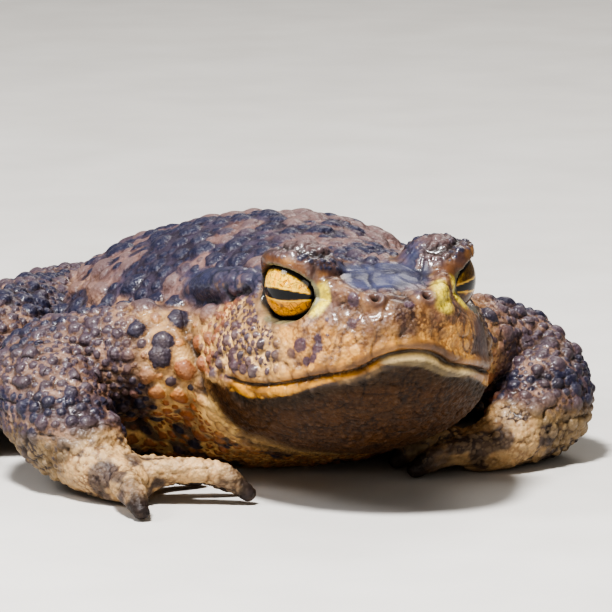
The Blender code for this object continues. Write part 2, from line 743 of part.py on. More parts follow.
def wart_places(node, others, zone, wanted, draw):
    """Places on a node's free skin for warts, with their radii, none close to a neighbour or the floor."""
    mesh = node.data
    mesh.calc_loop_triangles()
    corners = np.array([[mesh.vertices[i].co for i in face.vertices] for face in mesh.loop_triangles])
    normals = np.cross(corners[:, 1] - corners[:, 0], corners[:, 2] - corners[:, 0])
    areas = np.linalg.norm(normals, axis=1)
    trees = [tree_of(other) for other in others]
    found = []
    for _ in range(wanted * TRIES_PER_WART):
        if len(found) == wanted:
            break
        face = draw.choice(len(areas), p=areas / areas.sum())
        a, b = np.sort(draw.random(2))
        place = a * corners[face][0] + (b - a) * corners[face][1] + (1 - b) * corners[face][2]
        place = Vector(place / MM)
        outward = Vector(normals[face]).normalized()
        radius = zone(place, outward) * draw.uniform(0.68, 1.25)
        if radius <= 0 or place.z < LOWEST_WART:
            continue
        if any((place - other).length < (radius + reach) * WART_SPACING for other, _, reach in found):
            continue
        if any(tree.find_nearest(place * MM)[3] < (radius + WART_CLEARANCE) * MM for tree in trees):
            continue
        found.append((place, outward, radius))
    return found


def head_zone(place, _outward):
    """Small warts on the cheeks and the nape; the crown, the snout, the eyes and the glands stay smooth."""
    by_eye = (place - eye_centre(math.copysign(1, place.x))).length
    if by_eye < ORBIT_RADIUS + PLAIN_BY_EYE or place.y < PLAIN_SNOUT:
        return 0
    gland = min((place - Vector((math.copysign(k[0], place.x), k[1], k[2]))).length for k in PAROTOID)
    if gland < PLAIN_BY_GLAND:
        return 0
    return CHEEK_WART if place.z < 22 else NAPE_WART if place.y > 15 else 0


def torso_zone(place, _outward):
    """The largest warts on the back and the upper flanks, smaller ones lower down."""
    return BACK_WART if place.z > 17 else FLANK_WART if place.z > 8 else BELLY_WART


def limb_zone(_place, outward):
    """Warts on the outer sides of the limbs; their undersides stay plain."""
    return LIMB_WART if outward.z > -0.2 else 0


def add_warts(nodes):
    """Fuses seeded warts to the head, the torso and the upper pieces of the limbs."""
    plan = {"head": (head_zone, HEAD_WARTS), "torso": (torso_zone, TORSO_WARTS)}
    for word in SIDES:
        for piece in ("upper_arm", "forearm", "thigh", "shank"):
            plan[f"{piece}_{word}"] = (limb_zone, LIMB_WARTS)
    for number, (name, (zone, wanted)) in enumerate(plan.items()):
        node = nodes[name]
        draw = np.random.default_rng(WART_SEED + number)
        others = [other for other in nodes.values() if other is not node]
        warts = bpy.data.collections.new(f"{name}_warts")
        bpy.context.scene.collection.children.link(warts)
        for place, outward, radius in wart_places(node, others, zone, wanted, draw):
            thing = wart("wart", place, outward, radius, draw)
            bpy.context.scene.collection.objects.unlink(thing)
            warts.objects.link(thing)
        union = node.modifiers.new("warts", "BOOLEAN")
        union.operation = "UNION"
        union.operand_type = "COLLECTION"
        union.collection = warts
        baked(node)
        removed(*warts.objects)
        bpy.data.collections.remove(warts)
        largest(node)


def make_eyes(nodes):
    for word, side in SIDES.items():
        nodes[f"eye_{word}"] = ellipsoid(f"eye_{word}", eye_centre(side), [EYE_RADIUS] * 3)


def material(name, colour, roughness, coat=0.0):
    finish = bpy.data.materials.new(name)
    finish.use_nodes = True
    shader = finish.node_tree.nodes["Principled BSDF"]
    shader.inputs["Base Color"].default_value = (*colour, 1)
    shader.inputs["Roughness"].default_value = roughness
    shader.inputs["Coat Weight"].default_value = coat
    return finish


def finish(nodes):
    """Each node's material and shading, and the origin under the middle of the whole animal."""
    skins = {
        "back": material("warty_skin", SKIN, 0.6),
        "throat": material("throat_skin", PALE_SKIN, 0.55),
        "eye": material("golden_eye", GOLD, 0.15, 1.0),
    }
    places = {"jaw": "throat", "eye_left": "eye", "eye_right": "eye"}
    corners = np.array([v.co for thing in nodes.values() for v in thing.data.vertices])
    middle = (corners.min(axis=0) + corners.max(axis=0)) / 2
    shift = Matrix.Translation((-middle[0], -middle[1], -corners[:, 2].min()))
    for name, thing in nodes.items():
        thing.data.transform(shift)
        thing.name = name
        thing.data.name = name
        thing.data.materials.clear()
        thing.data.materials.append(skins[places.get(name, "back")])
        thing.data.shade_smooth()
        thing.data.set_sharp_from_angle(angle=math.radians(SHARP_ANGLE))


def main():
    for thing in list(bpy.data.objects):
        bpy.data.objects.remove(thing)
    nodes, clearances = {}, {}
    make_head_and_torso(nodes, clearances)
    make_limbs(nodes, clearances)
    removed(*clearances.values())
    make_eyes(nodes)
    add_warts(nodes)
    finish(nodes)


main()
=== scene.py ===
"""A common toad at rest on a pale floor: one warty skin, two golden eyes, light and camera.

The tables and the body's forms repeat those of the solids, in millimetres, with the toad
looking along -Y, its left side at +X, and y measured back from between the nostrils. The skin
is melted from the same forms at a finer grain, then warts, folds, lips and pores are raised
on it. Everything is moved at the end to where the solids are.
"""

import itertools
import math
from types import SimpleNamespace

import bmesh
import bpy
import numpy as np
from mathutils import Matrix, Vector
from mathutils.bvhtree import BVHTree
from mathutils.kdtree import KDTree

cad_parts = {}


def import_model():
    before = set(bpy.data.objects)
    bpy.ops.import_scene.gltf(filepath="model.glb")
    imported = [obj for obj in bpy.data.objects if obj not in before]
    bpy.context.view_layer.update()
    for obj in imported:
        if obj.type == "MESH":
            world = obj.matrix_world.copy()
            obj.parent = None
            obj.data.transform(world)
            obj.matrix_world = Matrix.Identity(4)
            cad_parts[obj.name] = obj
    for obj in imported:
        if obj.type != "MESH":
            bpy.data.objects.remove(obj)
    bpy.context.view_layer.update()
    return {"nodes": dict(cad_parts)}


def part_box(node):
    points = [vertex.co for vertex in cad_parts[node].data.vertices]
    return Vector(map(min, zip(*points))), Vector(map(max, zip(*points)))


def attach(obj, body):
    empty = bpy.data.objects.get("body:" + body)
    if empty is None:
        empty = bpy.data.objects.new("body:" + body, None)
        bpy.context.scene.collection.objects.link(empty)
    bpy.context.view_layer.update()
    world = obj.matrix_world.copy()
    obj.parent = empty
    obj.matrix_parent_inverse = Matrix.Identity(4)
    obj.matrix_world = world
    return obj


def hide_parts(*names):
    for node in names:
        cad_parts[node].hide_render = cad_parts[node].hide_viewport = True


MM = 0.001
SEED = 11

# Driving sizes, in millimetres.
SNOUT_TIP = -3.2
VENT = 92.0
NECK_REACH = 41.5
HEAD_HALF_WIDTH = 16.8
HEAD_REACH = 28.0
HEAD_ROUNDNESS = 2.3
EYE_RADIUS = 4.5
EYE_CENTRE = (8.3, 10.0, 26.1)
EYE_LOOKS = (0.90, -0.42, 0.06)
EYE_OPENING = (4.9, 3.0)
OPENING_SET = (-0.3, -0.65)
OPENING_ROUND = 0.78
NOSTRIL = (2.9, -0.3, 25.8)
NOSTRIL_FACES = (0.55, -0.55, 0.63)
MOUTH_CORNER = 14.5
LIP_SWEEP = 84
LIP_CENTRE = 12.0
ORBIT_RADIUS = 5.35
SOCKET_GAP = 0.05
FIRST_VOXEL = 0.34
SKIN_VOXEL = 0.25

# The pupil: half length and half thickness, the share of it left at its ends, tilt in degrees, and
# how far it lies ahead of the iris's middle. The iris: radius, and place in the eye.
PUPIL = (3.9, 0.66)
PUPIL_ENDS = 0.35
PUPIL_TILT = 1.0
PUPIL_AHEAD = 0.45
IRIS_RADIUS = 4.2
IRIS_SET = (-0.35, -0.6)

# The camera: degrees round to the toad's right and up, what it sees at the middle, and how wide.
CAMERA_TURN = 20.0
CAMERA_RISE = 9.1
CAMERA_AIM = (0.0, 0.0, 25.8)
CAMERA_ASIDE = (10.8, 0.92)
CAMERA_DISTANCE = 700.0
CAMERA_WIDTH = 70.34
CAMERA_SENSOR = 36.0
CAMERA_CLIP = (0.05, 20.0)

# The core, from snout to vent: y, half width, top, widest level, bottom, squareness above and below.
# The half width of the head comes from a formula, so the first rows leave it out.
CORE = [
    (-3.2, None, 22.8, 21.8, 20.8, 2.2, 2.2),
    (-2.6, None, 24.3, 21.0, 18.4, 2.2, 2.2),
    (-1.4, None, 25.4, 19.9, 15.6, 2.2, 2.2),
    (0.0, None, 26.2, 18.9, 13.2, 2.2, 2.1),
    (4.0, None, 27.6, 17.2, 9.4, 2.3, 2.1),
    (8.5, None, 28.5, 15.9, 6.8, 2.3, 2.1),
    (14.0, None, 28.8, 14.9, 5.2, 2.2, 2.1),
    (21.0, None, 28.7, 14.0, 4.0, 2.1, 2.2),
    (29.0, 18.0, 29.2, 13.4, 1.6, 2.0, 2.3),
    (37.0, 21.2, 29.9, 12.4, -0.6, 2.0, 2.4),
    (46.0, 24.2, 29.4, 11.6, -1.2, 2.0, 2.5),
    (56.0, 25.2, 27.6, 11.0, -1.2, 2.0, 2.5),
    (66.0, 23.6, 25.4, 10.8, -0.8, 2.0, 2.4),
    (76.0, 19.2, 22.6, 10.6, 0.2, 2.0, 2.3),
    (84.0, 13.6, 18.8, 10.2, 2.0, 2.0, 2.2),
    (89.5, 7.2, 14.4, 9.4, 4.4, 2.0, 2.0),
    (92.0, 0.6, 9.8, 9.0, 8.2, 2.0, 2.0),
]

# The line of the mouth from snout to corner: y, height.
MOUTH = [(-3.2, 20.2), (-2.4, 19.1), (-1.6, 18.1), (1.1, 17.0), (5.7, 15.6), (11.0, 14.9), (14.5, 15.1)]

# Forms on the head as x, y, z and radius along their length.
CANTHUS = [(7.1, 5.0, 26.3, 1.5), (5.3, 1.8, 25.9, 1.2), (3.9, -0.3, 25.2, 1.0)]
PAROTOID = [
    (10.4, 16.5, 25.2, 1.6),
    (11.6, 21.0, 25.0, 2.3),
    (12.8, 26.0, 24.2, 2.6),
    (13.6, 31.0, 23.0, 2.1),
]
# A lid as first and last angle, radius, distance from the eye's middle, and reach past the opening.
UPPER_LID = (8, 172, 1.0, 5.0, 0.8)
LOWER_LID = (188, 352, 0.6, 5.2, 0.45)
# The cone that opens the lids, as depth out of the eye's middle and share of the opening.
LID_CONE = [(1.2, 0.90), (3.4, 1.04), (9.0, 1.45)]
# A lip as height over the mouth's line, radius and depth in the skin.
UPPER_LIP = (1.0, 0.9, 0.6)
LOWER_LIP = (-1.0, 0.8, 0.55)
NOSTRIL_RIM = (1.5, 1.3, 1.3)
RIM_SUNK = 0.7

# Forms of the trunk under the skin, in the same way.
HIP = [(5.5, 56, 21.6, 5), (8.5, 67, 18.6, 5), (10, 78, 14, 4.5)]
FLANK = [(19, 44, 8, 7), (20.5, 54, 7.4, 7.4), (18.5, 64, 7.6, 7)]

# Limbs as x, y, z and radius along their length. x is measured outwards from the midline.
UPPER_ARM = {
    "right": [(13, 29, 14.3, 6.3), (19, 33, 14.4, 6.8), (25.5, 38, 13.0, 6.8), (30.2, 40, 12.0, 6.5)],
    "left": [(13, 29, 14.3, 6.3), (19, 33, 14.0, 6.4), (25, 36.6, 12.6, 6.1), (28.6, 38, 11.8, 5.9)],
}
FOREARM = {
    "right": [(30.4, 40, 11.8, 6.4), (31.4, 35.5, 10.2, 6.7), (31.4, 30, 7.8, 6.0), (29.8, 25.4, 5.2, 4.7)],
    "left": [(28.8, 37.6, 11.4, 5.9), (29.8, 34, 8.6, 6.5), (28.6, 29.6, 6.4, 6.3), (25.6, 26.6, 4.9, 4.8)],
}
PALM = {
    "right": [(29.8, 25.8, 4.8, 4.6), (28.6, 22.3, 3.6, 4.4), (26.6, 18.8, 2.7, 3.6)],
    "left": [(25.4, 26.8, 4.6, 4.5), (22.4, 24.8, 3.6, 4.4), (18.9, 24.2, 2.7, 3.6)],
}
FINGERS = {
    "right": {
        "1": [(25.5, 23.5, 2.8, 1.9), (21, 24.6, 2.8, 1.6), (18, 25.4, 1.9, 1.4), (16.2, 25.8, 1.1, 1.1)],
        "2": [(25.5, 21, 3.0, 1.8), (20, 20, 3.4, 1.5), (15.8, 19.4, 2.4, 1.3), (14.2, 19.2, 1.2, 1.0)],
        "3": [(25.5, 19, 3.2, 1.8), (20, 16.3, 4.0, 1.5), (16, 14.6, 3.3, 1.4), (13.8, 13.7, 1.3, 1.05)],
        "4": [(27.6, 19, 3.0, 2.0), (28.5, 14.5, 3.1, 1.75), (28.7, 10.8, 2.4, 1.6), (28.6, 8.4, 1.3, 1.2)],
    },
    "left": {
        "1": [(22, 27, 2.8, 1.9), (20.5, 30, 2.8, 1.6), (19.2, 32.5, 1.9, 1.4), (18.6, 34, 1.1, 1.1)],
        "2": [(20.5, 26, 3.0, 1.8), (17, 28.5, 3.2, 1.5), (14.2, 31, 2.3, 1.3), (13.2, 32.2, 1.2, 1.0)],
        "3": [(19.5, 25, 3.2, 1.8), (15, 26, 3.6, 1.5), (11.4, 27.4, 2.4, 1.3), (9.8, 28.2, 1.2, 1.0)],
        "4": [(19.2, 23, 3.0, 2.0), (15.4, 22, 3.1, 1.7), (12.0, 22, 2.3, 1.45), (10.2, 22.4, 1.2, 1.15)],
    },
}
THIGH = {
    "right": [(9, 81, 11.4, 6.4), (17, 73, 11.8, 7.9), (26, 63, 12.2, 7.6), (32, 55, 12.0, 6.4)],
    "left": [(9, 81, 10.6, 6.4), (17, 73, 9.6, 7.6), (26, 63, 8.6, 7.2), (31.5, 55, 7.9, 6.2)],
}
SHANK = {
    "right": [
        (32.4, 54.5, 11.2, 6.0),
        (34.6, 61, 9.9, 6.4),
        (33.8, 70, 8.8, 5.7),
        (30, 79, 7.6, 4.4),
        (27.6, 84.6, 6.6, 3.8),
    ],
    "left": [
        (32, 54.5, 7.8, 5.8),
        (34.8, 62, 7.6, 6.1),
        (33.6, 72, 7.4, 5.4),
        (29.6, 82.5, 7.0, 4.2),
        (27, 88, 6.4, 3.7),
    ],
}
TARSUS = {
    "right": [(28.2, 86.2, 4.1, 3.5), (33.4, 81, 3.4, 3.3), (37, 73.4, 3.0, 3.5), (38.4, 64, 2.4, 4.1)],
    "left": [(27.6, 89.4, 4.1, 3.4), (32.4, 84.6, 3.4, 3.2), (36, 77.4, 3.0, 3.4), (37.1, 68.4, 2.4, 4.1)],
}
# Toes of the right foot. The left foot is set down further back and further in.
LEFT_TOES_SHIFT = (-1.3, 4.8)
TOES = {
    "1": [(36.4, 64, 2.2, 1.8), (35, 59.5, 1.8, 1.4), (34.2, 56.5, 1.1, 1.0)],
    "2": [(37, 63, 2.2, 1.8), (35.8, 56.5, 2.0, 1.4), (35, 51.5, 1.1, 1.0)],
    "3": [(37.8, 62, 2.2, 1.9), (37, 53.5, 2.2, 1.5), (36.6, 49, 1.7, 1.3), (36.4, 45.5, 1.1, 1.0)],
    "4": [(38.6, 62, 2.2, 2.0), (39.2, 52, 2.2, 1.6), (39.8, 44, 1.7, 1.35), (40.2, 38, 1.1, 1.0)],
    "5": [(39.2, 64, 2.2, 1.8), (41, 57, 1.9, 1.4), (42, 51, 1.1, 1.0)],
}
WEB_SHARE = 0.55
WEB_THICKNESS = 0.9
WEB_HEIGHT = 1.1
WEB_HOLLOW = 0.22
SIDES = {"right": -1, "left": 1}


def rgb(red, green, blue):
    """A colour given from 0 to 255 as the eye sees it, in the linear values that shaders use."""
    shares = (value / 255 for value in (red, green, blue))
    return tuple(((c + 0.055) / 1.055) ** 2.4 if c > 0.0404 else c / 12.92 for c in shares)


# Colours of the skin between the warts.
BACK_SKIN = rgb(122, 98, 94)
DARK_SKIN = rgb(48, 46, 68)
FLANK_SKIN = rgb(214, 174, 116)
BELLY_SKIN = rgb(220, 184, 128)
# The chest's cream, brightened as painted light where the chest lies in shade.
CHEST_SKIN_LIT = rgb(248, 212, 146)
# The throat's brown, darkened as painted shade under the head.
THROAT_SKIN_SHADED = rgb(68, 40, 8)
THROAT_DARK = rgb(46, 32, 14)
CHEEK_SKIN = rgb(218, 182, 126)
MUZZLE_SKIN = rgb(188, 140, 80)
MUZZLE_BROWN = rgb(92, 64, 46)
LIP_SKIN = rgb(190, 138, 52)
PALE_LIP = rgb(224, 202, 150)
SNOUT_SKIN = rgb(92, 68, 62)
RIDGE_SKIN = rgb(60, 44, 44)
# The crown's blue-grey, lightened in part as painted reflection of its wet skin.
CROWN_SKIN_AND_SHEEN = rgb(50, 57, 88)
GLAND_SKIN = rgb(46, 48, 72)
LID_SKIN = rgb(104, 70, 44)
LID_SHADE = rgb(120, 96, 74)
BROW_SKIN = rgb(80, 62, 62)
LID_RIM = rgb(112, 112, 86)
LID_OLIVE = rgb(156, 116, 66)
# Painted shade for the wall of skin between the lids and the eye.
EYE_EDGE_SHADE = rgb(26, 22, 18)
EYE_CORNER = rgb(214, 196, 72)
LIMB_SKIN = rgb(142, 116, 100)
UNDER_SKIN = rgb(140, 118, 84)
UNDER_PATCH = rgb(66, 56, 58)
HAND_SKIN = rgb(180, 150, 110)
FINGER_TIP = rgb(38, 30, 30)
# Warts.
NAVY = rgb(30, 31, 54)
PLUM = rgb(66, 54, 64)
UMBER = rgb(100, 80, 78)
MAUVE = rgb(74, 54, 64)
RUST = rgb(138, 84, 52)
FLANK_WART = rgb(172, 122, 74)
BELLY_WART = rgb(158, 104, 58)
CHEST_WART = rgb(150, 88, 46)
MUZZLE_PEBBLE = rgb(196, 152, 92)
# Darkened as painted shade, like the throat's skin.
THROAT_PEBBLE_SHADED = rgb(82, 52, 12)
# Eyes.
# The upper iris is paler: partly its own colour and partly a painted highlight from the light above.
IRIS_HIGH = rgb(250, 202, 88)
IRIS_LOW = rgb(222, 152, 40)
IRIS_VEIN = rgb(52, 26, 8)

# Colours that the materials mix in, in linear values.
GROUND_LIGHT = (1.16, 1.10, 1.04)
GROUND_DEEP = (0.52, 0.46, 0.46)
# Painted highlight for the very tops of the warts.
WART_TOP_HIGHLIGHT = (0.27, 0.20, 0.165)
# Painted shade for the hollows between warts.
HOLLOW_SHADE_TINT = (0.16, 0.12, 0.11)
# Painted highlight for skin that stands out of its surroundings.
RISE_HIGHLIGHT = (0.22, 0.19, 0.18)
# Painted shade for folds, creases, the mouth's groove and the nostrils.
RECESS_SHADE_TINT = (0.018, 0.012, 0.010)
LIMBUS = (0.006, 0.005, 0.005)
PUPIL_BLACK = (0.002, 0.002, 0.003)
FLOOR_TONES = ((0.55, 0.53, 0.50), (0.60, 0.58, 0.55))

# Large single warts between the jaw and the arm, the same on both sides: x outwards, y, z, radius, tone.
LARGE_WARTS = [
    (17.4, 28.2, 19.9, 1.75, 0.95),
    (19.9, 27.0, 17.7, 1.35, 0.95),
    (20.5, 26.4, 15.7, 1.55, 0.95),
    (17.6, 25.2, 14.6, 1.5, 2.0),
    (16.8, 24.4, 17.6, 1.2, 2.0),
    (16.6, 21.6, 15.6, 1.1, 2.0),
    (22.5, 29.0, 19.0, 1.3, 0.9),
    (16.9, 32.5, 20.9, 1.5, 0.9),
]

# Warts placed on the right side of the face alone, in the same way.
NEAR_WARTS = [
    (6.5, -0.6, 25.7, 0.95, 0.95),
    (14.8, 8.1, 20.4, 0.78, 0.95),
    (15.1, 11.3, 20.5, 0.62, 0.95),
    (14.4, 7.0, 19.0, 0.62, 0.95),
    (14.9, 8.0, 18.0, 0.58, 0.95),
    (13.9, 5.7, 19.2, 0.62, 0.95),
    (13.2, 3.4, 19.3, 0.62, 0.95),
    (11.9, 2.6, 20.7, 0.90, 0.95),
    (11.7, 1.7, 18.7, 0.60, 0.95),
    (10.5, 0.6, 20.7, 0.70, 0.95),
    (15.8, 11.8, 18.5, 0.62, 0.95),
    (15.3, 10.1, 19.0, 0.60, 0.95),
]

# Classes of warts: share of the largest radius, spacing, and places tried.
WART_CLASSES = [(1.0, 1.06, 26000), (0.64, 0.98, 46000), (0.40, 0.96, 60000)]

# The middle of the golden patch before the left eye, and how far it reaches.
FAR_GOLD = (5.6, 0.6, 26.0)
FAR_GOLD_REACH = (1.5, 2.6, 2.4)

# Folds of the skin on both sides: points with x outwards, half width, depth.
FOLDS = [
    ([(11.5, 15.4, 25.6), (13.6, 19.7, 23.6), (15.4, 26.5, 21.9), (17.2, 33.7, 21.1)], 0.5, 0.4),
    (
        [(17.0, 30.5, 20.9), (17.2, 26.5, 18.6), (16.9, 24.0, 16.2), (16.6, 22.6, 13.2), (16.2, 21.4, 10.4)],
        0.8,
        0.9,
    ),
    ([(22.6, 34.5, 20.6), (21.0, 29.2, 18.2), (19.2, 26.6, 15.2), (18.2, 25.4, 12.2)], 0.8, 0.8),
    ([(27.2, 22.3, 7.3), (29.2, 21.2, 7.6), (31.2, 20.0, 6.4), (33.4, 20.0, 5.0)], 0.5, 0.5),
    ([(26.0, 27.0, 10.0), (28.0, 25.2, 11.2), (31.0, 24.2, 11.6)], 0.5, 0.45),
    ([(12.6, 4.0, 21.4), (10.8, 1.2, 22.2), (8.4, -0.8, 23.2)], 0.4, 0.35),
    ([(15.8, 16.0, 14.6), (15.0, 11.0, 12.4), (12.4, 6.0, 11.6), (8.0, 1.6, 12.4)], 0.5, 0.4),
    ([(15.9, 18.5, 12.2), (14.6, 13.0, 9.4), (11.0, 8.0, 8.4)], 0.5, 0.35),
]
# How closely warts stand on the trunk and on the limbs and face, as a share of the sum of two radii.
CROWDING = (1.05, 0.86)
# The smallest radius, the spread of sizes, how far a wart reaches in radii, and how round its top is.
LEAST_WART = 0.05
WART_SPREAD = (0.65, 1.3)
WART_SEARCH = 1.25
WART_ROUND = 0.8
# The tones between which a wart on the muzzle turns from the skin's colour to its own.
SET_TONE = (0.93, 0.945)
# The cells round a cell, and the side of a cell in which warts are looked up.
AROUND = list(itertools.product((-1, 0, 1), repeat=3))
WART_CELL = 3.6

# How many samples at the end of a finger or toe count as its tip and as its end.
DIGIT_SAMPLES = {"tip": 2, "end": 6}

# Folds of the lids: share, ring round the eye's opening, width, and the heights where each fades in.
LID_FOLDS = [(1.0, 1.75, 0.09, 0.0, 1.2), (0.6, 1.5, 0.08, -0.4, -1.2), (0.4, 1.8, 0.08, -0.4, -1.2)]
# The groove between the lips as depth and width, and their rolls as height, place over it and width.
LIP_GROOVE = (0.75, 0.17)
LIP_ROLLS = [(0.22, 0.8, 0.6), (0.12, -0.9, 0.5)]
# A nostril as depth, width and dark width, and the ring round it as height, radius and width.
PORE = (1.0, 0.46, 0.48)
PORE_RING = (0.14, 0.90, 0.30)

# Lights: place from the middle of what they are aimed at in metres, size, watts and colour.
LIGHTS = {
    "key": ((-0.20, -0.16, 0.60), 0.12, 8.0, (1, 1, 1)),
    "back_softbox": ((0.30, 0.42, 0.46), 0.30, 1.1, (1.0, 0.96, 0.91)),
    "side_softbox": ((-0.52, 0.09, 0.46), 0.24, 1.6, (0.94, 0.96, 1.0)),
    "fill": ((-0.20, -0.66, 0.20), 0.34, 0.9, (1.0, 0.95, 0.88)),
    "window": ((-0.64, -0.21, 0.17), 0.10, 0.35, (0.85, 0.92, 1.0)),
}
LIGHTS_AIM = (0, 10, 15)
SKY_COLOUR = (0.95, 0.93, 0.90)
SKY_STRENGTH = 0.22
FLOOR_HALF = 3

# The lattice of the noise: where it starts, and the factors that mix its cells.
NOISE_START = 100.5
MIXERS = (73856093, 19349663, 83492791, 2654435, 1274126177)
# Points further off a limb than the first read as this far; past the second they aren't measured.
FAR_OFF = 9.0
LIMB_MARGIN = 14


def hermite(knots, at):
    """Rows of numbers read from knots at the parameters given, by a cubic that doesn't overshoot."""
    knots = np.asarray(knots, float)
    x, y = knots[:, 0], knots[:, 1:]
    step = np.diff(x)[:, None]
    slope = np.diff(y, axis=0) / step
    tangent = np.vstack([slope[:1], (slope[1:] + slope[:-1]) / 2, slope[-1:]])
    flat = slope[1:] * slope[:-1] <= 0
    tangent[1:-1][flat] = 0
    limit = 3 * np.minimum(np.abs(np.vstack([slope, slope[-1:]])), np.abs(np.vstack([slope[:1], slope])))
    tangent = np.clip(tangent, -limit, limit)
    i = np.clip(np.searchsorted(x, at, side="right") - 1, 0, len(x) - 2)
    t = ((at - x[i]) / (x[i + 1] - x[i]))[:, None]
    h = step[i]
    return (
        (2 * t**3 - 3 * t**2 + 1) * y[i]
        + (t**3 - 2 * t**2 + t) * h * tangent[i]
        + (3 * t**2 - 2 * t**3) * y[i + 1]
        + (t**3 - t**2) * h * tangent[i + 1]
    )


def head_half_width(y):
    """Half the head's width: the top view of the snout and jaws is one broad rounded outline."""
    share = np.clip((np.asarray(y, float) - SNOUT_TIP) / HEAD_REACH, 0, 1)
    return HEAD_HALF_WIDTH * np.sqrt(1 - (1 - share) ** HEAD_ROUNDNESS)


def core_rows(y):
    """The core's rows at the distances y behind the nostrils."""
    table = [(row[0], head_half_width(row[0]) if row[1] is None else row[1], *row[2:]) for row in CORE]
    rows = hermite(table, np.asarray(y, float))
    head = np.asarray(y) < CORE[7][0]
    rows[head, 0] = head_half_width(np.asarray(y)[head])
    return rows


def linked(name, data):
    """A new object that shows the data."""
    thing = bpy.data.objects.new(name, data)
    bpy.context.scene.collection.objects.link(thing)
    return thing


def object_from(name, edit):
    """A new object that holds an edited mesh."""
    mesh = bpy.data.meshes.new(name)
    edit.to_mesh(mesh)
    edit.free()
    return linked(name, mesh)


def mesh_object(name, points, faces):
    """A new object with its faces turned out."""
    mesh = bpy.data.meshes.new(name)
    mesh.from_pydata([Vector(p) * MM for p in points], [], faces)
    mesh.update()
    thing = linked(name, mesh)
    face_out(thing)
    return thing


def skin_rings(name, rings):
    """A closed surface through rings of as many points each, with a point closing each end."""
    count = len(rings[0])
    points = [p for ring in rings for p in ring]
    first, last = len(points), len(points) + 1
    points += [np.mean(rings[0], axis=0), np.mean(rings[-1], axis=0)]
    faces = []
    for i in range(count):
        j = (i + 1) % count
        faces.append((first, j, i))
        for k in range(len(rings) - 1):
            a, b = k * count, (k + 1) * count
            faces.append((a + i, a + j, b + j, b + i))
        end = (len(rings) - 1) * count
        faces.append((last, end + i, end + j))
    return mesh_object(name, points, faces)


def face_out(thing):
    edit = bmesh.new()
    edit.from_mesh(thing.data)
    bmesh.ops.recalc_face_normals(edit, faces=edit.faces)
    if edit.calc_volume(signed=True) < 0:
        bmesh.ops.reverse_faces(edit, faces=edit.faces)
    edit.to_mesh(thing.data)
    edit.free()


def run_of(knots):
    """How much of a line's length lies before each of its knots."""
    apart = np.linalg.norm(np.diff(np.asarray(knots, float)[:, :3], axis=0), axis=1)
    return np.concatenate([[0], np.cumsum(apart)])


def limb_line(knots):
    """A limb's middle line and radius, read by the share of its length."""
    along = run_of(knots)
    table = np.column_stack([along / along[-1], knots])
    return lambda share: hermite(table, np.array([share]))[0]


def tube(name, knots, side=1, flat=1.0, count=28, steps=10):
    """A round-ended limb along x, y, z and radius knots. flat squashes it in height."""
    along = run_of(knots)
    read = np.linspace(0, along[-1], steps * (len(knots) - 1) + 1)
    line = hermite(np.column_stack([along, knots]), read)
    line[:, 0] *= side
    points, radii = line[:, :3], line[:, 3]
    tangent = np.gradient(points, read, axis=0)
    tangent /= np.linalg.norm(tangent, axis=1)[:, None]
    across = np.cross(tangent, [0, 0, 1.0])
    across /= np.linalg.norm(across, axis=1)[:, None]
    upward = np.cross(across, tangent)
    turn = np.linspace(0, 2 * math.pi, count, endpoint=False)
    rings = []

    def ring(centre, i, radius):
        a, u = across[i] * radius, upward[i] * radius * flat
        rings.append(centre + np.cos(turn)[:, None] * a + np.sin(turn)[:, None] * u)

    caps = np.radians([10, 35, 60])
    for angle in caps:
        ring(points[0] - tangent[0] * radii[0] * flat * math.cos(angle), 0, radii[0] * math.sin(angle))
    for i in range(len(points)):
        ring(points[i], i, radii[i])
    for angle in caps[::-1]:
        ring(points[-1] + tangent[-1] * radii[-1] * flat * math.cos(angle), -1, radii[-1] * math.sin(angle))
    return skin_rings(name, rings)


def ellipsoid(name, centre, radii, detail=5):
    edit = bmesh.new()
    bmesh.ops.create_icosphere(edit, subdivisions=detail, radius=1)
    shape = Matrix.Diagonal(Vector(radii) * MM).to_4x4()
    edit.transform(Matrix.Translation(Vector(centre) * MM) @ shape)
    return object_from(name, edit)


def baked(thing):
    """The object with its modifiers applied."""
    bpy.context.view_layer.update()
    graph = bpy.context.evaluated_depsgraph_get()
    mesh = bpy.data.meshes.new_from_object(thing.evaluated_get(graph))
    old = thing.data
    thing.modifiers.clear()
    thing.data = mesh
    bpy.data.meshes.remove(old)
    mesh.name = thing.name
    return thing


def removed(*things):
    for thing in things:
        mesh = thing.data
        bpy.data.objects.remove(thing)
        bpy.data.meshes.remove(mesh)


def joined(name, pieces):
    edit = bmesh.new()
    for piece in pieces:
        edit.from_mesh(piece.data)
    removed(*pieces)
    return object_from(name, edit)


def cut(thing, cutter):
    """Takes the cutter out of an object."""
    change = thing.modifiers.new("open", "BOOLEAN")
    change.operation = "DIFFERENCE"
    change.solver = "MANIFOLD"
    change.object = cutter
    baked(thing)
    removed(cutter)


def sided(place, side):
    """A place or direction given for the left side, on the side that is asked for."""
    return Vector((side * place[0], *place[1:]))


def eye_axes(side):
    """Where an eye looks, and the long and the short way of its opening."""
    looks = sided(EYE_LOOKS, side).normalized()
    ahead = Vector((0, -1, 0))
    ahead = (ahead - looks * ahead.dot(looks)).normalized()
    upward = ahead.cross(looks) * side
    if upward.z < 0:
        upward.negate()
    return looks, ahead, upward


def eye_centre(side):
    return sided(EYE_CENTRE, side)


def opening_centre(side):
    """The lids open a little behind and below the middle of the eye."""
    _, ahead, upward = eye_axes(side)
    return eye_centre(side) + ahead * OPENING_SET[0] + upward * OPENING_SET[1]


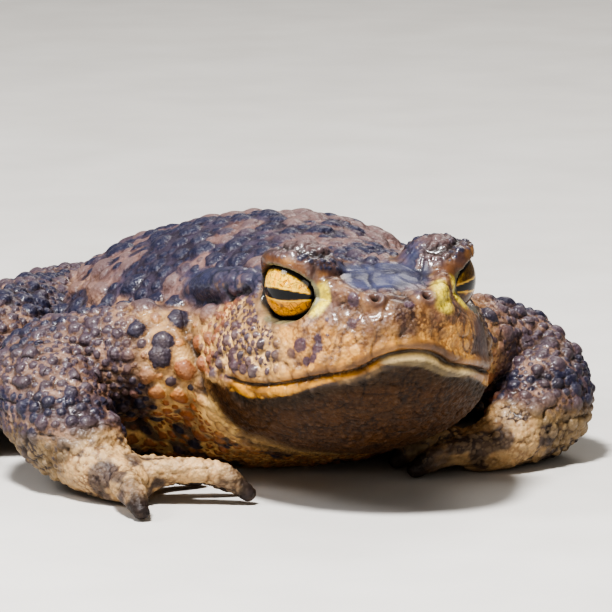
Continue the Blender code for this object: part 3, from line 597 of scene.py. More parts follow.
def lid(name, side, first, last, radius, out, spread):
    """A roll of skin along one edge of an eye's opening. Angles run from the front corner upwards."""
    looks, ahead, upward = eye_axes(side)
    centre = opening_centre(side)
    knots = []
    for degrees in np.linspace(first, last, 9):
        angle = math.radians(degrees)
        across = ahead * math.cos(angle) * (EYE_OPENING[0] + spread)
        across += upward * math.sin(angle) * (EYE_OPENING[1] + spread)
        depth = math.sqrt(max(out**2 - across.length_squared, 0))
        point = centre + across + looks * depth
        ease = math.sin(math.pi * (degrees - first) / (last - first))
        knots.append((*point, radius * (0.45 + 0.55 * ease**0.6)))
    return tube(name, knots, count=20, steps=5)


def rounded(value):
    """Fills out the corners of an ellipse."""
    return math.copysign(abs(value) ** OPENING_ROUND, value)


def opening(name, side):
    """The cone that opens the lids over an eye."""
    looks, ahead, upward = eye_axes(side)
    centre = opening_centre(side)
    rings = []
    for depth, wide in LID_CONE:
        ring = []
        for angle in np.linspace(0, 2 * math.pi, 20, endpoint=False):
            point = centre + looks * depth
            point += ahead * rounded(math.cos(angle)) * EYE_OPENING[0] * wide
            point += upward * rounded(math.sin(angle)) * EYE_OPENING[1] * wide
            ring.append(tuple(point))
        rings.append(np.array(ring))
    return skin_rings(name, rings)


def mouth_height(y):
    return float(hermite(MOUTH, np.array([min(y, MOUTH_CORNER)]))[0, 0])


def lips_path(tree, above, count=21):
    """Points around the snout, a height above the mouth's line, on a surface given as a BVH tree."""
    points = []
    for angle in np.radians(np.linspace(-LIP_SWEEP, LIP_SWEEP, count)):
        height = 16.5
        for _ in range(4):
            start = Vector((0, LIP_CENTRE, height)) * MM
            hit = tree.ray_cast(start, Vector((math.sin(angle), -math.cos(angle), 0)))[0]
            height = mouth_height(hit.y / MM) + above
        points.append(hit / MM)
    return points


def lip(name, tree, above, radius, sunk):
    """A soft roll that follows the mouth from corner to corner."""
    knots = []
    path = lips_path(tree, above)
    for i, point in enumerate(path):
        inward = Vector((-point.x, LIP_CENTRE - point.y, 0)).normalized()
        ease = math.sin(math.pi * (i + 0.5) / len(path)) ** 0.5
        knots.append((*(point + inward * sunk), radius * (0.5 + 0.5 * ease)))
    return tube(name, knots, count=20, steps=4)


def head_forms(tree):
    """The swellings of the head: orbits, lids, snout ridges, nostril rims, parotoid glands and lips."""
    forms = []
    for word, side in SIDES.items():
        forms.append(ellipsoid(f"orbit_{word}", eye_centre(side), [ORBIT_RADIUS] * 3))
        forms.append(tube(f"canthus_{word}", CANTHUS, side))
        forms.append(tube(f"parotoid_{word}", PAROTOID, side, flat=0.8))
        forms.append(lid(f"upper_lid_{word}", side, *UPPER_LID))
        forms.append(lid(f"lower_lid_{word}", side, *LOWER_LID))
        rim = on_surface(tree, *nostril_line(side), -RIM_SUNK)
        forms.append(ellipsoid(f"nostril_rim_{word}", rim, NOSTRIL_RIM))
    forms.append(lip("upper_lip", tree, *UPPER_LIP))
    forms.append(lip("lower_lip", tree, *LOWER_LIP))
    return forms


def nostril_line(side):
    """A nostril's place and the way it faces."""
    return sided(NOSTRIL, side), sided(NOSTRIL_FACES, side)


def on_surface(tree, place, outward, above):
    """The point of a surface that lies along outward from a place, raised by a height above it."""
    start = (place + outward * 8) * MM
    hit = tree.ray_cast(start, -outward)[0]
    return hit / MM + outward * above


def tree_of(thing):
    edit = bmesh.new()
    edit.from_mesh(thing.data)
    tree = BVHTree.FromBMesh(edit)
    edit.free()
    return tree


def torso_forms():
    """The hips under the skin of the back, and the soft flanks behind the arms."""
    forms = []
    for word, side in SIDES.items():
        forms.append(tube(f"hip_{word}", HIP, side))
        forms.append(tube(f"flank_{word}", FLANK, side))
    return forms


def web(name, first, second, side):
    """A thin skin between two toes, out to a share of their length, with a hollow front edge."""
    inner, outer = limb_line(first), limb_line(second)
    rows, across = 5, 4
    upper, lower = [], []
    for i in range(rows):
        out = i / (rows - 1)
        for j in range(across):
            mix = j / (across - 1)
            share = WEB_SHARE * out * (1 - WEB_HOLLOW * math.sin(math.pi * mix) * out)
            x, y = (inner(share) * (1 - mix) + outer(share) * mix)[:2]
            upper.append((side * x, y, WEB_HEIGHT + WEB_THICKNESS / 2))
            lower.append((side * x, y, WEB_HEIGHT - WEB_THICKNESS / 2))
    points = upper + lower
    half = len(upper)
    number = np.arange(half).reshape(rows, across)
    faces = []
    for i in range(rows - 1):
        for j in range(across - 1):
            corners = [int(number[i + a, j + b]) for a, b in ((0, 0), (0, 1), (1, 1), (1, 0))]
            faces += [tuple(corners), tuple(half + corner for corner in corners)]
    edge = [*number[0], *number[1:, -1], *number[-1, -2::-1], *number[-2:0:-1, 0]]
    for a, b in zip(edge, edge[1:] + edge[:1]):
        faces.append((int(a), int(b), int(half + b), int(half + a)))
    return mesh_object(name, points, faces)


def toes_of(word):
    """The five toes of a foot, from the inner one."""
    x, y = LEFT_TOES_SHIFT if word == "left" else (0, 0)
    return [[(knot[0] + x, knot[1] + y, *knot[2:]) for knot in toe] for toe in TOES.values()]


def largest(thing):
    """Keeps only the largest closed surface of a mesh."""
    edit = bmesh.new()
    edit.from_mesh(thing.data)
    left = set(edit.verts)
    groups = []
    while left:
        found, rim = set(), [left.pop()]
        while rim:
            vertex = rim.pop()
            found.add(vertex)
            for link in vertex.link_edges:
                other = link.other_vert(vertex)
                if other in left:
                    left.remove(other)
                    rim.append(other)
        groups.append(found)

    def span(group):
        corners = np.array([v.co for v in group])
        return float(np.prod(corners.max(axis=0) - corners.min(axis=0)))

    groups.sort(key=span)
    for group in groups[:-1]:
        bmesh.ops.delete(edit, geom=list(group), context="VERTS")
    edit.to_mesh(thing.data)
    edit.free()
    return thing


def core(name, first, last, count=150, rows=210):
    """Head and trunk as one lofted body, with rings set closer where the snout and rump close."""
    angles = np.linspace(0, 2 * math.pi, count, endpoint=False)
    cosine, sine = np.cos(angles), np.sin(angles)
    share = np.linspace(0, 1, rows)
    spaced = (1 - np.cos(math.pi * share)) / 2
    at = first + 0.02 + (last - first - 0.04) * (0.35 * share + 0.65 * spaced)
    rings = []
    for y, row in zip(at, core_rows(at)):
        half_width, top, middle, bottom, above, below = row
        square = np.where(sine >= 0, above, below)
        height = np.where(sine >= 0, top - middle, middle - bottom)
        x = half_width * np.sign(cosine) * np.abs(cosine) ** (2 / square)
        z = middle + height * np.sign(sine) * np.abs(sine) ** (2 / square)
        rings.append(np.stack([x, np.full(count, y), z], axis=1))
    return skin_rings(name, rings)


def melted(thing, voxel, rounds):
    """The mesh remade as one even skin of small squares, and softened."""
    melt = thing.modifiers.new("melt", "REMESH")
    melt.mode = "VOXEL"
    melt.voxel_size = voxel * MM
    soften = thing.modifiers.new("soften", "SMOOTH")
    soften.factor = 0.5
    soften.iterations = rounds
    return baked(thing)


def limb_forms():
    forms = []
    for word, side in SIDES.items():
        forms.append(tube("shoulder", UPPER_ARM[word], side))
        forms.append(tube("elbow", FOREARM[word], side))
        forms.append(tube("palm", PALM[word], side, flat=0.75))
        forms += [tube("finger", knots, side) for knots in FINGERS[word].values()]
        forms.append(tube("leg", THIGH[word], side))
        forms.append(tube("shin", SHANK[word], side))
        forms.append(tube("tarsus", TARSUS[word], side, flat=0.85))
        toes = toes_of(word)
        forms += [tube("toe", knots, side) for knots in toes]
        forms += [web("web", toes[i], toes[i + 1], side) for i in range(4)]
    return forms


def bare_skin():
    """The whole animal as one closed skin with open lids, before any wart."""
    bare = core("bare", SNOUT_TIP, NECK_REACH)
    pieces = [core("trunk", SNOUT_TIP, VENT), *head_forms(tree_of(bare)), *torso_forms(), *limb_forms()]
    removed(bare)
    skin = melted(joined("skin", pieces), FIRST_VOXEL, 4)
    for side in SIDES.values():
        cut(skin, ellipsoid("socket", eye_centre(side), [EYE_RADIUS + SOCKET_GAP] * 3))
        cut(skin, opening("opening", side))
    return largest(melted(skin, SKIN_VOXEL, 5))


def points_of(mesh):
    found = np.empty(len(mesh.vertices) * 3, np.float32)
    mesh.vertices.foreach_get("co", found)
    return found.reshape(-1, 3).astype(float) / MM


def normals_of(mesh):
    found = np.empty(len(mesh.vertices) * 3, np.float32)
    mesh.vertices.foreach_get("normal", found)
    return found.reshape(-1, 3).astype(float)


def place_points(mesh, points):
    mesh.vertices.foreach_set("co", (points * MM).astype(np.float32).ravel())
    mesh.update()


def soft(value, start, end):
    """0 before start and 1 past end, with a smooth rise. start may be the larger one."""
    share = np.clip((value - start) / (end - start), 0, 1)
    return share * share * (3 - 2 * share)


def bell(value, width):
    """1 where the value is 0, and falling to 0 on both sides."""
    return np.exp(-((value / width) ** 2))


def hashed(cell, seed):
    """A fixed value from -1 to 1 for each cell of a lattice."""
    x, y, z = cell.T
    mixed = (x * MIXERS[0]) ^ (y * MIXERS[1]) ^ (z * MIXERS[2]) ^ (seed * MIXERS[3])
    mixed = (mixed ^ (mixed >> 13)) * MIXERS[4]
    return ((mixed ^ (mixed >> 16)) & 0xFFFFF) / 0x7FFFF - 1


def noise(points, scale, seed=0):
    """Smooth values from -1 to 1 over space, on a lattice of so many millimetres."""
    at = points / scale + NOISE_START
    cell = np.floor(at).astype(np.int64)
    part = at - cell
    part = part * part * (3 - 2 * part)
    total = np.zeros(len(points))
    for corner in itertools.product((0, 1), repeat=3):
        weight = np.prod(np.where(corner, part, 1 - part), axis=1)
        total += weight * hashed(cell + corner, seed)
    return total


def tube_samples(knots, side, apart=0.6):
    """Points and radii close together along a limb."""
    read = limb_line(knots)
    count = int(run_of(knots)[-1] / apart) + 2
    line = np.array([read(share) for share in np.linspace(0, 1, count)])
    line[:, 0] *= side
    return line


def outside(points, line):
    """How far points lie outside a tube, in millimetres. Points far off all read as FAR_OFF."""
    found = np.full(len(points), FAR_OFF)
    low, high = line[:, :3].min(axis=0) - LIMB_MARGIN, line[:, :3].max(axis=0) + LIMB_MARGIN
    near = np.nonzero(np.all((points > low) & (points < high), axis=1))[0]
    for few in np.array_split(near, len(near) // 20000 + 1):
        apart = np.linalg.norm(points[few][:, None] - line[None, :, :3], axis=2) - line[None, :, 3]
        found[few] = np.minimum(apart.min(axis=1), FAR_OFF)
    return found


def limb_tables(word):
    """The tables of one side's limbs, in the groups that the skin tells apart."""
    fingers, toes = list(FINGERS[word].values()), toes_of(word)
    return {
        "arm": [UPPER_ARM[word], FOREARM[word]],
        "hand": [PALM[word], *fingers],
        "leg": [THIGH[word], SHANK[word]],
        "foot": [TARSUS[word], *toes],
        "tip": fingers + toes,
        "end": fingers + toes,
    }


def body_parts(points):
    """How much each point belongs to the arms, hands, legs, feet, and finger ends, from 0 to 1."""
    clear = {}
    for word, side in SIDES.items():
        for group, tables in limb_tables(word).items():
            last = DIGIT_SAMPLES.get(group, 0)
            for knots in tables:
                far = outside(points, tube_samples(knots, side)[-last:])
                clear[group] = np.minimum(clear.get(group, far), far)
    parts = {group: soft(far, 1.2, 0.1) for group, far in clear.items()}
    parts["hand"] *= soft(clear["arm"] - clear["hand"], -0.4, 0.4)
    parts["arm"] *= 1 - parts["hand"]
    parts["foot"] *= soft(clear["leg"] - clear["foot"], -0.4, 0.4)
    parts["leg"] *= 1 - parts["foot"]
    parts["tip"] = soft(clear["tip"] + 0.4 * noise(points, 1.3, 38), 0.7, 0.1)
    parts["end"] = soft(clear["end"] + 0.8 * noise(points, 1.6, 33), 1.0, 0.1)
    parts["end"] *= np.maximum(parts["hand"], parts["foot"])
    shoulder = soft(np.abs(points[:, 0]), 19.5, 25.0) + soft(points[:, 1], 37, 41)
    parts["arm"] *= np.clip(shoulder, 0, 1)
    parts["limb"] = np.clip(parts["arm"] + parts["hand"] + parts["leg"] + parts["foot"], 0, 1)
    return parts


def eye_view(points):
    """The points as seen from the nearer eye.

    along and across run over the eye's opening, depth out of it, far is the distance from the
    eye's middle, and ring is 1 on the opening's edge.
    """
    side = np.where(points[:, 0] < 0, -1.0, 1.0)
    mirrored = points * np.stack([side, np.ones_like(side), np.ones_like(side)], axis=1)
    looks, ahead, upward = (np.array(axis) for axis in eye_axes(1))
    away = mirrored - np.array(EYE_CENTRE)
    along, across = away @ ahead - OPENING_SET[0], away @ upward - OPENING_SET[1]
    return SimpleNamespace(
        along=along,
        across=across,
        depth=away @ looks,
        far=np.linalg.norm(away, axis=1),
        ring=np.hypot(along / EYE_OPENING[0], across / EYE_OPENING[1]),
    )


def line_distance(points, line):
    """The distance of points from a line of straight runs, and the nearest share of its length."""
    line = np.asarray(line, float)
    best = np.full(len(points), 1e9)
    share = np.zeros(len(points))
    for i, (start, end) in enumerate(zip(line, line[1:])):
        run = end - start
        t = np.clip(((points - start) @ run) / (run @ run), 0, 1)
        apart = np.linalg.norm(points - start - t[:, None] * run, axis=1)
        nearer = apart < best
        best[nearer] = apart[nearer]
        share[nearer] = ((i + t) / (len(line) - 1))[nearer]
    return best, share


def folds_of(points):
    """How far each point sinks into a fold, in millimetres, and how deep in one it lies from 0 to 1."""
    sunk, within = np.zeros(len(points)), np.zeros(len(points))
    mirrored = np.column_stack([np.abs(points[:, 0]), points[:, 1:]])
    uneven = 1 + 0.35 * noise(points, 2.2, 3)
    for line, width, depth in FOLDS:
        apart, share = line_distance(mirrored, line)
        fade = soft(share, 0, 0.18) * soft(share, 1, 0.82)
        well = bell(apart / width, uneven) * fade
        sunk = np.maximum(sunk, well * depth)
        within = np.maximum(within, well)
    return sunk, within


def mouth_line(points, normals):
    """Height over the line of the mouth, and how much a point belongs to it."""
    height = hermite(MOUTH, np.clip(points[:, 1], MOUTH[0][0], MOUTH_CORNER))[:, 0]
    level = np.hypot(normals[:, 0], normals[:, 1])
    before_corner = soft(points[:, 1], MOUTH_CORNER + 0.6, MOUTH_CORNER - 0.6)
    return points[:, 2] - height, before_corner * soft(level, 0.2, 0.4)


def far_cheek(points, over):
    """The far side of the face, on the toad's left, where shade is painted on."""
    x, y, z = points.T
    return soft(x, 8.4, 11.0) * soft(z, 24.0, 21.5) * soft(over, 0.4, 1.2) * soft(y, 12, 7)


def gland_of(points):
    """How much a point lies on the gland behind an eye."""
    lines = [tube_samples(PAROTOID, side) for side in SIDES.values()]
    far = np.min([outside(points, line) for line in lines], axis=0)
    return soft(far, 1.0, 0.0) * soft(points[:, 2], 20.5, 22.0)


def patchy(points):
    """Dark blotches of the skin, from 0 to 1."""
    field = noise(points, 3.6, 23) + 0.55 * noise(points, 1.7, 24) + 0.25 * noise(points, 9.0, 25)
    x, y, z = points.T
    neck = soft(np.abs(x), 14, 16) * soft(y, 37, 33) * soft(z, 22.5, 20.5) * soft(z, 11.5, 13.5)
    elbow = soft(np.abs(x), 27, 30) * soft(y, 37, 33)
    elbow *= soft(z + field, 7.8, 9.0)
    elbow *= soft(z - field, 13.5, 11.5)
    return np.clip(soft(field, -0.12, 0.22) * (1 - 0.75 * neck) + 0.85 * elbow, 0, 1)


def looks_of(points, normals):
    """Named places on the skin, each from 0 to 1, and over, the height over the line of the mouth."""
    x, y, z = points.T
    over, near = mouth_line(points, normals)
    wavy = 0.5 * noise(points, 1.6, 22)
    looks = {"over": over, "near_mouth": near, "gland": gland_of(points), "patch": patchy(points)}
    looks["lips"] = near * soft(np.abs(over), 1.7, 1.0)
    behind = 2.4 * soft(z, 19.5, 22.5)
    face = soft(y, 24, 19) * soft(over, -0.6, 0.2)
    looks["muzzle"] = face * soft(y + wavy, 6.6 + behind, 3.2 + behind) * (1 - soft(z, 27.4, 28.4))
    below_eye = soft(y, 24, 19) * soft(z, 26.0, 23.5)
    looks["cheek"] = below_eye * soft(over, -0.6, 0.2) * (1 - looks["muzzle"])
    looks["throat"] = soft(over, -0.9, -1.4) * soft(y, 25, 19)
    narrow = 3.0 + 2.2 * soft(y, 0.5, 4.0)
    crown = soft(np.abs(x) + 1.6 * wavy, narrow + 1.0, narrow - 0.7) * soft(y + 2 * wavy, 12.0, 8.0)
    looks["crown"] = crown * soft(z + 0.8 * wavy, 26.1, 27.1)
    looks["chest"] = soft(np.abs(x), 10.0, 13.0) * soft(z, 13.0, 10.5) * soft(y, 18, 21) * soft(y, 42, 36)
    looks["orbit"] = soft(eye_view(points).far, ORBIT_RADIUS + 2.2, ORBIT_RADIUS + 1.2)
    holes = [nostril_line(side)[0] for side in SIDES.values()]
    looks["nostril"] = soft(nearest(points, holes), 2.1, 1.6)
    return looks


def nearest(points, places):
    """The distance to the nearest of some places."""
    return np.min([np.linalg.norm(points - np.array(place), axis=1) for place in places], axis=0)


def lids_of(points, first, last):
    """The lids, fading out between two rings round the eye's opening."""
    eye = eye_view(points)
    return soft(eye.far, ORBIT_RADIUS + 1.6, ORBIT_RADIUS + 0.9) * soft(eye.ring, last, first)


def plain_places(points, looks):
    """Where the skin is smooth: lids, crown, lips, nostrils, the far cheek and partly the glands."""
    smooth = [lids_of(points, 1.4, 1.58), looks["crown"], looks["lips"], looks["nostril"]]
    smooth += [0.5 * looks["gland"], far_cheek(points, looks["over"])]
    return np.clip(np.max(smooth, axis=0), 0, 1)


def wart_radius(points, normals, parts, looks):
    """The largest radius that a wart has at each point, in millimetres; 0 leaves the skin plain."""
    _, y, z = points.T
    up = normals[:, 2]
    radius = 0.85 + 0.45 * soft(z, 9, 15) - 0.1 * soft(z, 22, 27)
    radius *= 1 - 0.3 * soft(y, 60, 85)
    radius += 0.35 * soft(z, 18, 23) * soft(y, 24, 30)
    places = [
        (soft(z, 7, 3.5) * soft(up, 0.1, -0.3), 0.55),
        (looks["cheek"], 0.58 + 0.34 * soft(z, 21.5, 18.0) - 0.16 * soft(y, 14, 20)),
        (looks["throat"], 0.42),
        (looks["chest"], 0.95),
        (looks["muzzle"], 0.70),
        (looks["orbit"], 0.5),
        (soft(y, 15, 21) * soft(y, 27, 21) * soft(z, 26, 27.5), 0.8),
        (looks["gland"], 0.95),
        (parts["limb"], 0.62 + 0.38 * soft(up, -0.1, 0.5)),
        (np.maximum(parts["hand"], parts["foot"]), 0.40 + 0.18 * soft(up, 0.2, 0.8)),
        (parts["tip"], 0.0),
    ]
    for share, own in places:
        radius += (own - radius) * share
    return radius


def wart_height(points, parts, looks):
    """How high a wart rises at each point, as a share of its radius."""
    back = soft(points[:, 2], 19, 23) * soft(points[:, 1], 20, 27) * (1 - parts["limb"])
    height = 0.56 - 0.24 * looks["throat"] - 0.43 * looks["muzzle"] - 0.14 * back - 0.3 * looks["gland"]
    height += 0.08 * (parts["arm"] + parts["leg"]) + 0.24 * looks["cheek"]
    return height - 0.3 * looks["cheek"] * far_cheek(points, looks["over"])


def crowding(points, parts):
    """How closely the warts stand, as a share of the sum of two radii."""
    loose, dense = CROWDING
    crowd = np.full(len(points), loose)
    packed = np.maximum(parts["limb"], soft(points[:, 1], 24, 18))
    return crowd + (dense - crowd) * packed


def cell_of(place):
    return tuple(math.floor(value / WART_CELL) for value in place)


def touches(place, size, apart, others):
    """Whether a wart would come too close to one of the others, given as place and radius."""
    for other, reach in others:
        limit = (size + reach) * apart
        x, y, z = place[0] - other[0], place[1] - other[1], place[2] - other[2]
        if x * x + y * y + z * z < limit * limit:
            return True
    return False


def scattered(points, radius, crowd, plain, wart_class, taken, draw):
    """Adds warts of one size class, as rows of point number and radius, none too close to another."""
    share, spacing, wanted = wart_class
    order = draw.permutation(len(points))
    keep = (radius[order] > LEAST_WART) & (draw.random(len(order)) > plain[order])
    order = order[keep][:wanted]
    sizes = radius[order] * share * draw.uniform(*WART_SPREAD, len(order))
    found = []
    for number, size in zip(order.tolist(), sizes.tolist()):
        place = points[number].tolist()
        cell = cell_of(place)
        apart = spacing * crowd[number]
        near = (tuple(i + step for i, step in zip(cell, steps)) for steps in AROUND)
        if any(touches(place, size, apart, taken.get(other, ())) for other in near):
            continue
        taken.setdefault(cell, []).append((place, size))
        found.append((number, size))
    return found


def all_warts(points, radius, crowd, plain, draw):
    """Large warts first, then smaller ones in the room that is left, as point number, radius and tone."""
    taken, found, tones = {}, [], []
    for side in SIDES.values():
        for x, y, z, size, tone in LARGE_WARTS + (NEAR_WARTS if side < 0 else []):
            number = int(np.argmin(nearest(points, [(side * x, y, z)])))
            taken.setdefault(cell_of(points[number]), []).append((points[number].tolist(), size))
            found.append((number, size))
            tones.append(tone)
    for wart_class in WART_CLASSES:
        found += scattered(points, radius, crowd, plain, wart_class, taken, draw)
    own = draw.random(len(found) - len(tones))
    numbers = [number for number, _ in found[len(tones):]]
    tones += (0.35 * own + 0.65 * patchy(points[numbers])).tolist()
    return found, tones


def raise_warts(points, normals, warts, height, tones):
    """The rise of each point, its share of a wart's top, and the tone of that wart."""
    tree = KDTree(len(points))
    for i, point in enumerate(points.tolist()):
        tree.insert(point, i)
    tree.balance()
    rise, top, tone = np.zeros(len(points)), np.zeros(len(points)), np.full(len(points), 0.5)
    uneven = 1 + 0.34 * noise(points, 1.2, 5) + 0.15 * noise(points, 0.5, 6)
    for (number, size), own in zip(warts, tones):
        found = tree.find_range(points[number].tolist(), size * WART_SEARCH)
        index = np.array([row[1] for row in found])
        far = np.array([row[2] for row in found])
        same = normals[index] @ normals[number] > 0.1
        index, far = index[same], far[same]
        t = np.clip(far / (size * uneven[index]), 0, 1)
        dome = (1 - t * t) ** WART_ROUND
        lift = dome * size * height[number]
        higher = lift > rise[index]
        chosen = index[higher]
        rise[chosen] = lift[higher]
        top[chosen] = dome[higher]
        tone[chosen] = own
    return rise, top, tone


def relief_of(mesh, points, normals, rounds=14):
    """How far each point stands out of the skin around it, in millimetres; less than 0 in a hollow."""
    ends = np.empty(len(mesh.edges) * 2, np.int32)
    mesh.edges.foreach_get("vertices", ends)
    first, second = ends.reshape(-1, 2).T
    count = np.bincount(ends, minlength=len(points))
    level = points.copy()
    for _ in range(rounds):
        for axis in range(3):
            values = level[:, axis].copy()
            total = np.bincount(first, values[second], len(points))
            total += np.bincount(second, values[first], len(points))
            level[:, axis] = 0.5 * values + 0.5 * total / np.maximum(count, 1)
    return ((points - level) * normals).sum(axis=1)


def trunk_layers(points, looks, blotch, fine):
    """Back, flanks and belly with their dark blotches."""
    _, y, z = points.T
    side = soft(z + 2.2 * blotch + 0.8 * fine, 22.5, 18.5)
    pale = soft(z + blotch, 10.0, 7.0) * soft(y, 36, 46)
    return [
        (FLANK_SKIN, side * (1 - 0.8 * soft(y, 36, 46) * soft(z, 10, 14))),
        (BELLY_SKIN, soft(z + blotch, 10.5, 7.5)),
        (DARK_SKIN, 0.9 * looks["patch"] * (1 - 0.8 * pale)),
    ]


def face_layers(points, looks, fine):
    """Cheeks and muzzle, mottled and veined, with painted shade on the far cheek and the ridge down the
    snout.
    """
    x, y, z = points.T
    cheek, muzzle = looks["cheek"], looks["muzzle"]
    mottle = noise(points, 2.8, 29) + 0.7 * noise(points, 1.1, 30)
    veins = bell(noise(points, 1.9, 27), 0.08) * np.maximum(muzzle, 0.8 * cheek)
    ridge = soft(np.abs(x + 0.1 + 0.4 * fine), 1.8, 0.8) * soft(y, 3, 1) * soft(z, 19.6, 22.0)
    return [
        (CHEEK_SKIN, cheek),
        (FLANK_SKIN, cheek * soft(y, 15, 21)),
        (MUZZLE_SKIN, muzzle),
        (MUZZLE_BROWN, 0.75 * np.maximum(muzzle, 0.7 * cheek) * soft(mottle, 0.15, 0.6)),
        (MUZZLE_BROWN, 0.7 * soft(y, 10, 6) * soft(z + 0.6 * fine, 22.2, 24.2)),
        (MUZZLE_BROWN, 0.85 * veins),
        (SNOUT_SKIN, 0.45 * muzzle * soft(noise(points, 2.2, 36), 0.05, 0.45)),
        (SNOUT_SKIN, 0.45 * muzzle * soft(z + 0.8 * fine, 21.6, 23.8)),
        (LID_OLIVE, 0.4 * muzzle * soft(noise(points, 3.0, 37), 0.1, 0.5)),
        # Painted shade: the far cheek is darkened to plum.
        (PLUM, 0.85 * far_cheek(points, looks["over"])),
        (RIDGE_SKIN, 0.85 * ridge),
    ]


def throat_layers(points, parts, looks, fine):
    """Throat and chest, the throat darkened as painted shade and the chest brightened as painted light, and
    the dark glands behind the eyes.
    """
    _, y, z = points.T
    lightening = soft(noise(points, 2.0, 34) + 0.5 * fine, 0.35, 0.7)
    return [
        # Partly painted shade: the throat's own brown is darkened for the shade under the head.
        (THROAT_SKIN_SHADED, looks["throat"]),
        (BELLY_SKIN, 0.6 * looks["throat"] * soft(z + fine, 8.5, 6.5) * soft(y, 12, 20)),
        # Partly painted light: the chest's cream is brightened to make up for the shade it lies in.
        (CHEST_SKIN_LIT, looks["chest"] * (1 - 0.85 * looks["patch"]) * (1 - parts["limb"])),
        (GLAND_SKIN, looks["gland"] * (1 - 0.6 * lightening)),
    ]


def eye_layers(points, looks, fine):
    """Brows, lids with painted shade at their inner edges, the golden corners of the eyes, and the crown
    with its partly painted sheen.
    """
    eye = eye_view(points)
    along, across, far, ring = eye.along, eye.across, eye.far, eye.ring
    orbit = soft(far, ORBIT_RADIUS + 1.8, ORBIT_RADIUS + 0.8) * soft(across, -0.5, 1.4)
    lid = orbit * soft(ring + 0.12 * fine, 1.62, 1.4)
    near_eye = soft(far, ORBIT_RADIUS + 1.6, ORBIT_RADIUS + 0.9) * soft(eye.depth, 0.5, 1.5)
    corner = np.exp(-(((along - 6.0) / 1.25) ** 2) - (((across - 0.1) / 2.1) ** 2)) * soft(far, 9.3, 7.9)
    away = (points - np.array(FAR_GOLD)) / np.array(FAR_GOLD_REACH)
    gold = np.linalg.norm(away, axis=1) + 0.35 * fine
    behind = soft(along, -1.0, -3.0)
    rim = near_eye * soft(ring, 1.20 - 0.1 * behind, 1.13 - 0.1 * behind) * (0.9 - 0.6 * behind)
    return [
        (BROW_SKIN, orbit),
        (LID_SKIN, lid),
        (LID_OLIVE, 0.6 * lid * soft(noise(points, 1.7, 39), 0.0, 0.45)),
        (BROW_SKIN, 0.7 * lid * soft(noise(points, 1.2, 40), 0.15, 0.45)),
        (LID_SHADE, 0.7 * near_eye * soft(across, 0.2, -0.6) * soft(ring, 1.75, 1.45)),
        (EYE_CORNER, soft(corner, 0.25, 0.6)),
        (EYE_CORNER, 0.8 * soft(gold, 1.3, 0.6)),
        (LID_RIM, rim),
        # Painted shade: the wall of skin between the lids and the eye is near black.
        (EYE_EDGE_SHADE, near_eye * soft(ring, 1.07, 1.0)),
        # Partly painted reflection: the crown's blue-grey is lightened to stand in for the sheen of its wet
        # skin.
        (CROWN_SKIN_AND_SHEEN, 0.95 * looks["crown"]),
    ]


def limb_layers(points, normals, parts, looks, blotch, fine):
    """Limbs, paler underneath and on the hands, with dark marks, a band at the wrist and dark tips."""
    x, y, z = points.T
    up = normals[:, 2]
    upper, limb = parts["arm"] + parts["leg"], parts["limb"]
    under = soft(up + 0.15 * blotch, -0.25, -0.65) + soft(z + 1.6 * blotch, 8.4, 5.6)
    under = np.clip(under, 0, 1)
    marks = soft(noise(points, 3.2, 26) + 0.5 * noise(points, 1.3, 28), 0.08, 0.36)
    wrist = limb * soft(np.abs(y - 18.0 + 1.5 * fine), 2.6, 1.0) * soft(x, -24, -26)
    return [
        (LIMB_SKIN, upper),
        (DARK_SKIN, 0.75 * looks["patch"] * (1 - under) * upper),
        (UNDER_SKIN, under * limb),
        (HAND_SKIN, parts["hand"] + parts["foot"]),
        (UNDER_PATCH, 0.85 * marks * limb * np.maximum(under, parts["hand"])),
        (UNDER_PATCH, 0.6 * parts["end"]),
        (UNDER_PATCH, 0.75 * wrist * soft(up, -0.3, 0.3) * soft(noise(points, 1.6, 43), -0.3, 0.2)),
        (FINGER_TIP, 0.85 * parts["tip"]),
    ]


def mouth_layers(points, looks, fine):
    """The golden edge of the lower lip, pale in front, the shade under it, and the upper lip with painted
    shade along its lower edge.
    """
    x, y, _ = points.T
    over, near = looks["over"], looks["near_mouth"]
    rim = over + (0.5 + 1.0 * soft(y, -2.5, 7.0))
    bow = np.clip(1 - ((x - 3.8) / 7.4) ** 2, 0, 1)
    pale = near * soft(over + 1.35 * bow**0.6, -0.08, 0.08) * soft(over, 0.05, -0.05)
    shade = near * soft(rim, 0.05, -0.25) * soft(rim, -2.0, -0.7)
    upper = near * soft(over, 0.0, 0.2)
    # Painted shade along the upper lip's lower edge, darker on the far side.
    line = 0.75 * upper * soft(over + 0.3 * fine, 1.1, 0.4)
    return [
        (LIP_SKIN, near * soft(rim, -0.2, 0.1) * soft(over, 0.05, -0.15)),
        (PALE_LIP, pale * soft(bow, 0.02, 0.2)),
        (THROAT_DARK, 0.8 * shade),
        (LIP_SKIN, 0.35 * upper * soft(over, 2.2, 0.9)),
        (MUZZLE_BROWN, line * (0.6 + 0.4 * soft(x, -3, 2))),
    ]


def painted(base, layers):
    """A base colour with layers of colour and weight over it, for each point."""
    colours = np.tile(np.array(base), (len(layers[0][1]), 1))
    for colour, weight in layers:
        colours += (np.array(colour) - colours) * np.clip(weight, 0, 1)[:, None]
    return colours


def ground_colours(points, normals, parts, looks):
    """The colour of the skin between the warts at each point."""
    blotch, fine = noise(points, 6.5, 21), noise(points, 1.6, 22)
    layers = [
        *trunk_layers(points, looks, blotch, fine),
        *face_layers(points, looks, fine),
        *throat_layers(points, parts, looks, fine),
        *eye_layers(points, looks, fine),
        *limb_layers(points, normals, parts, looks, blotch, fine),
        *mouth_layers(points, looks, fine),
    ]
    return painted(BACK_SKIN, layers)


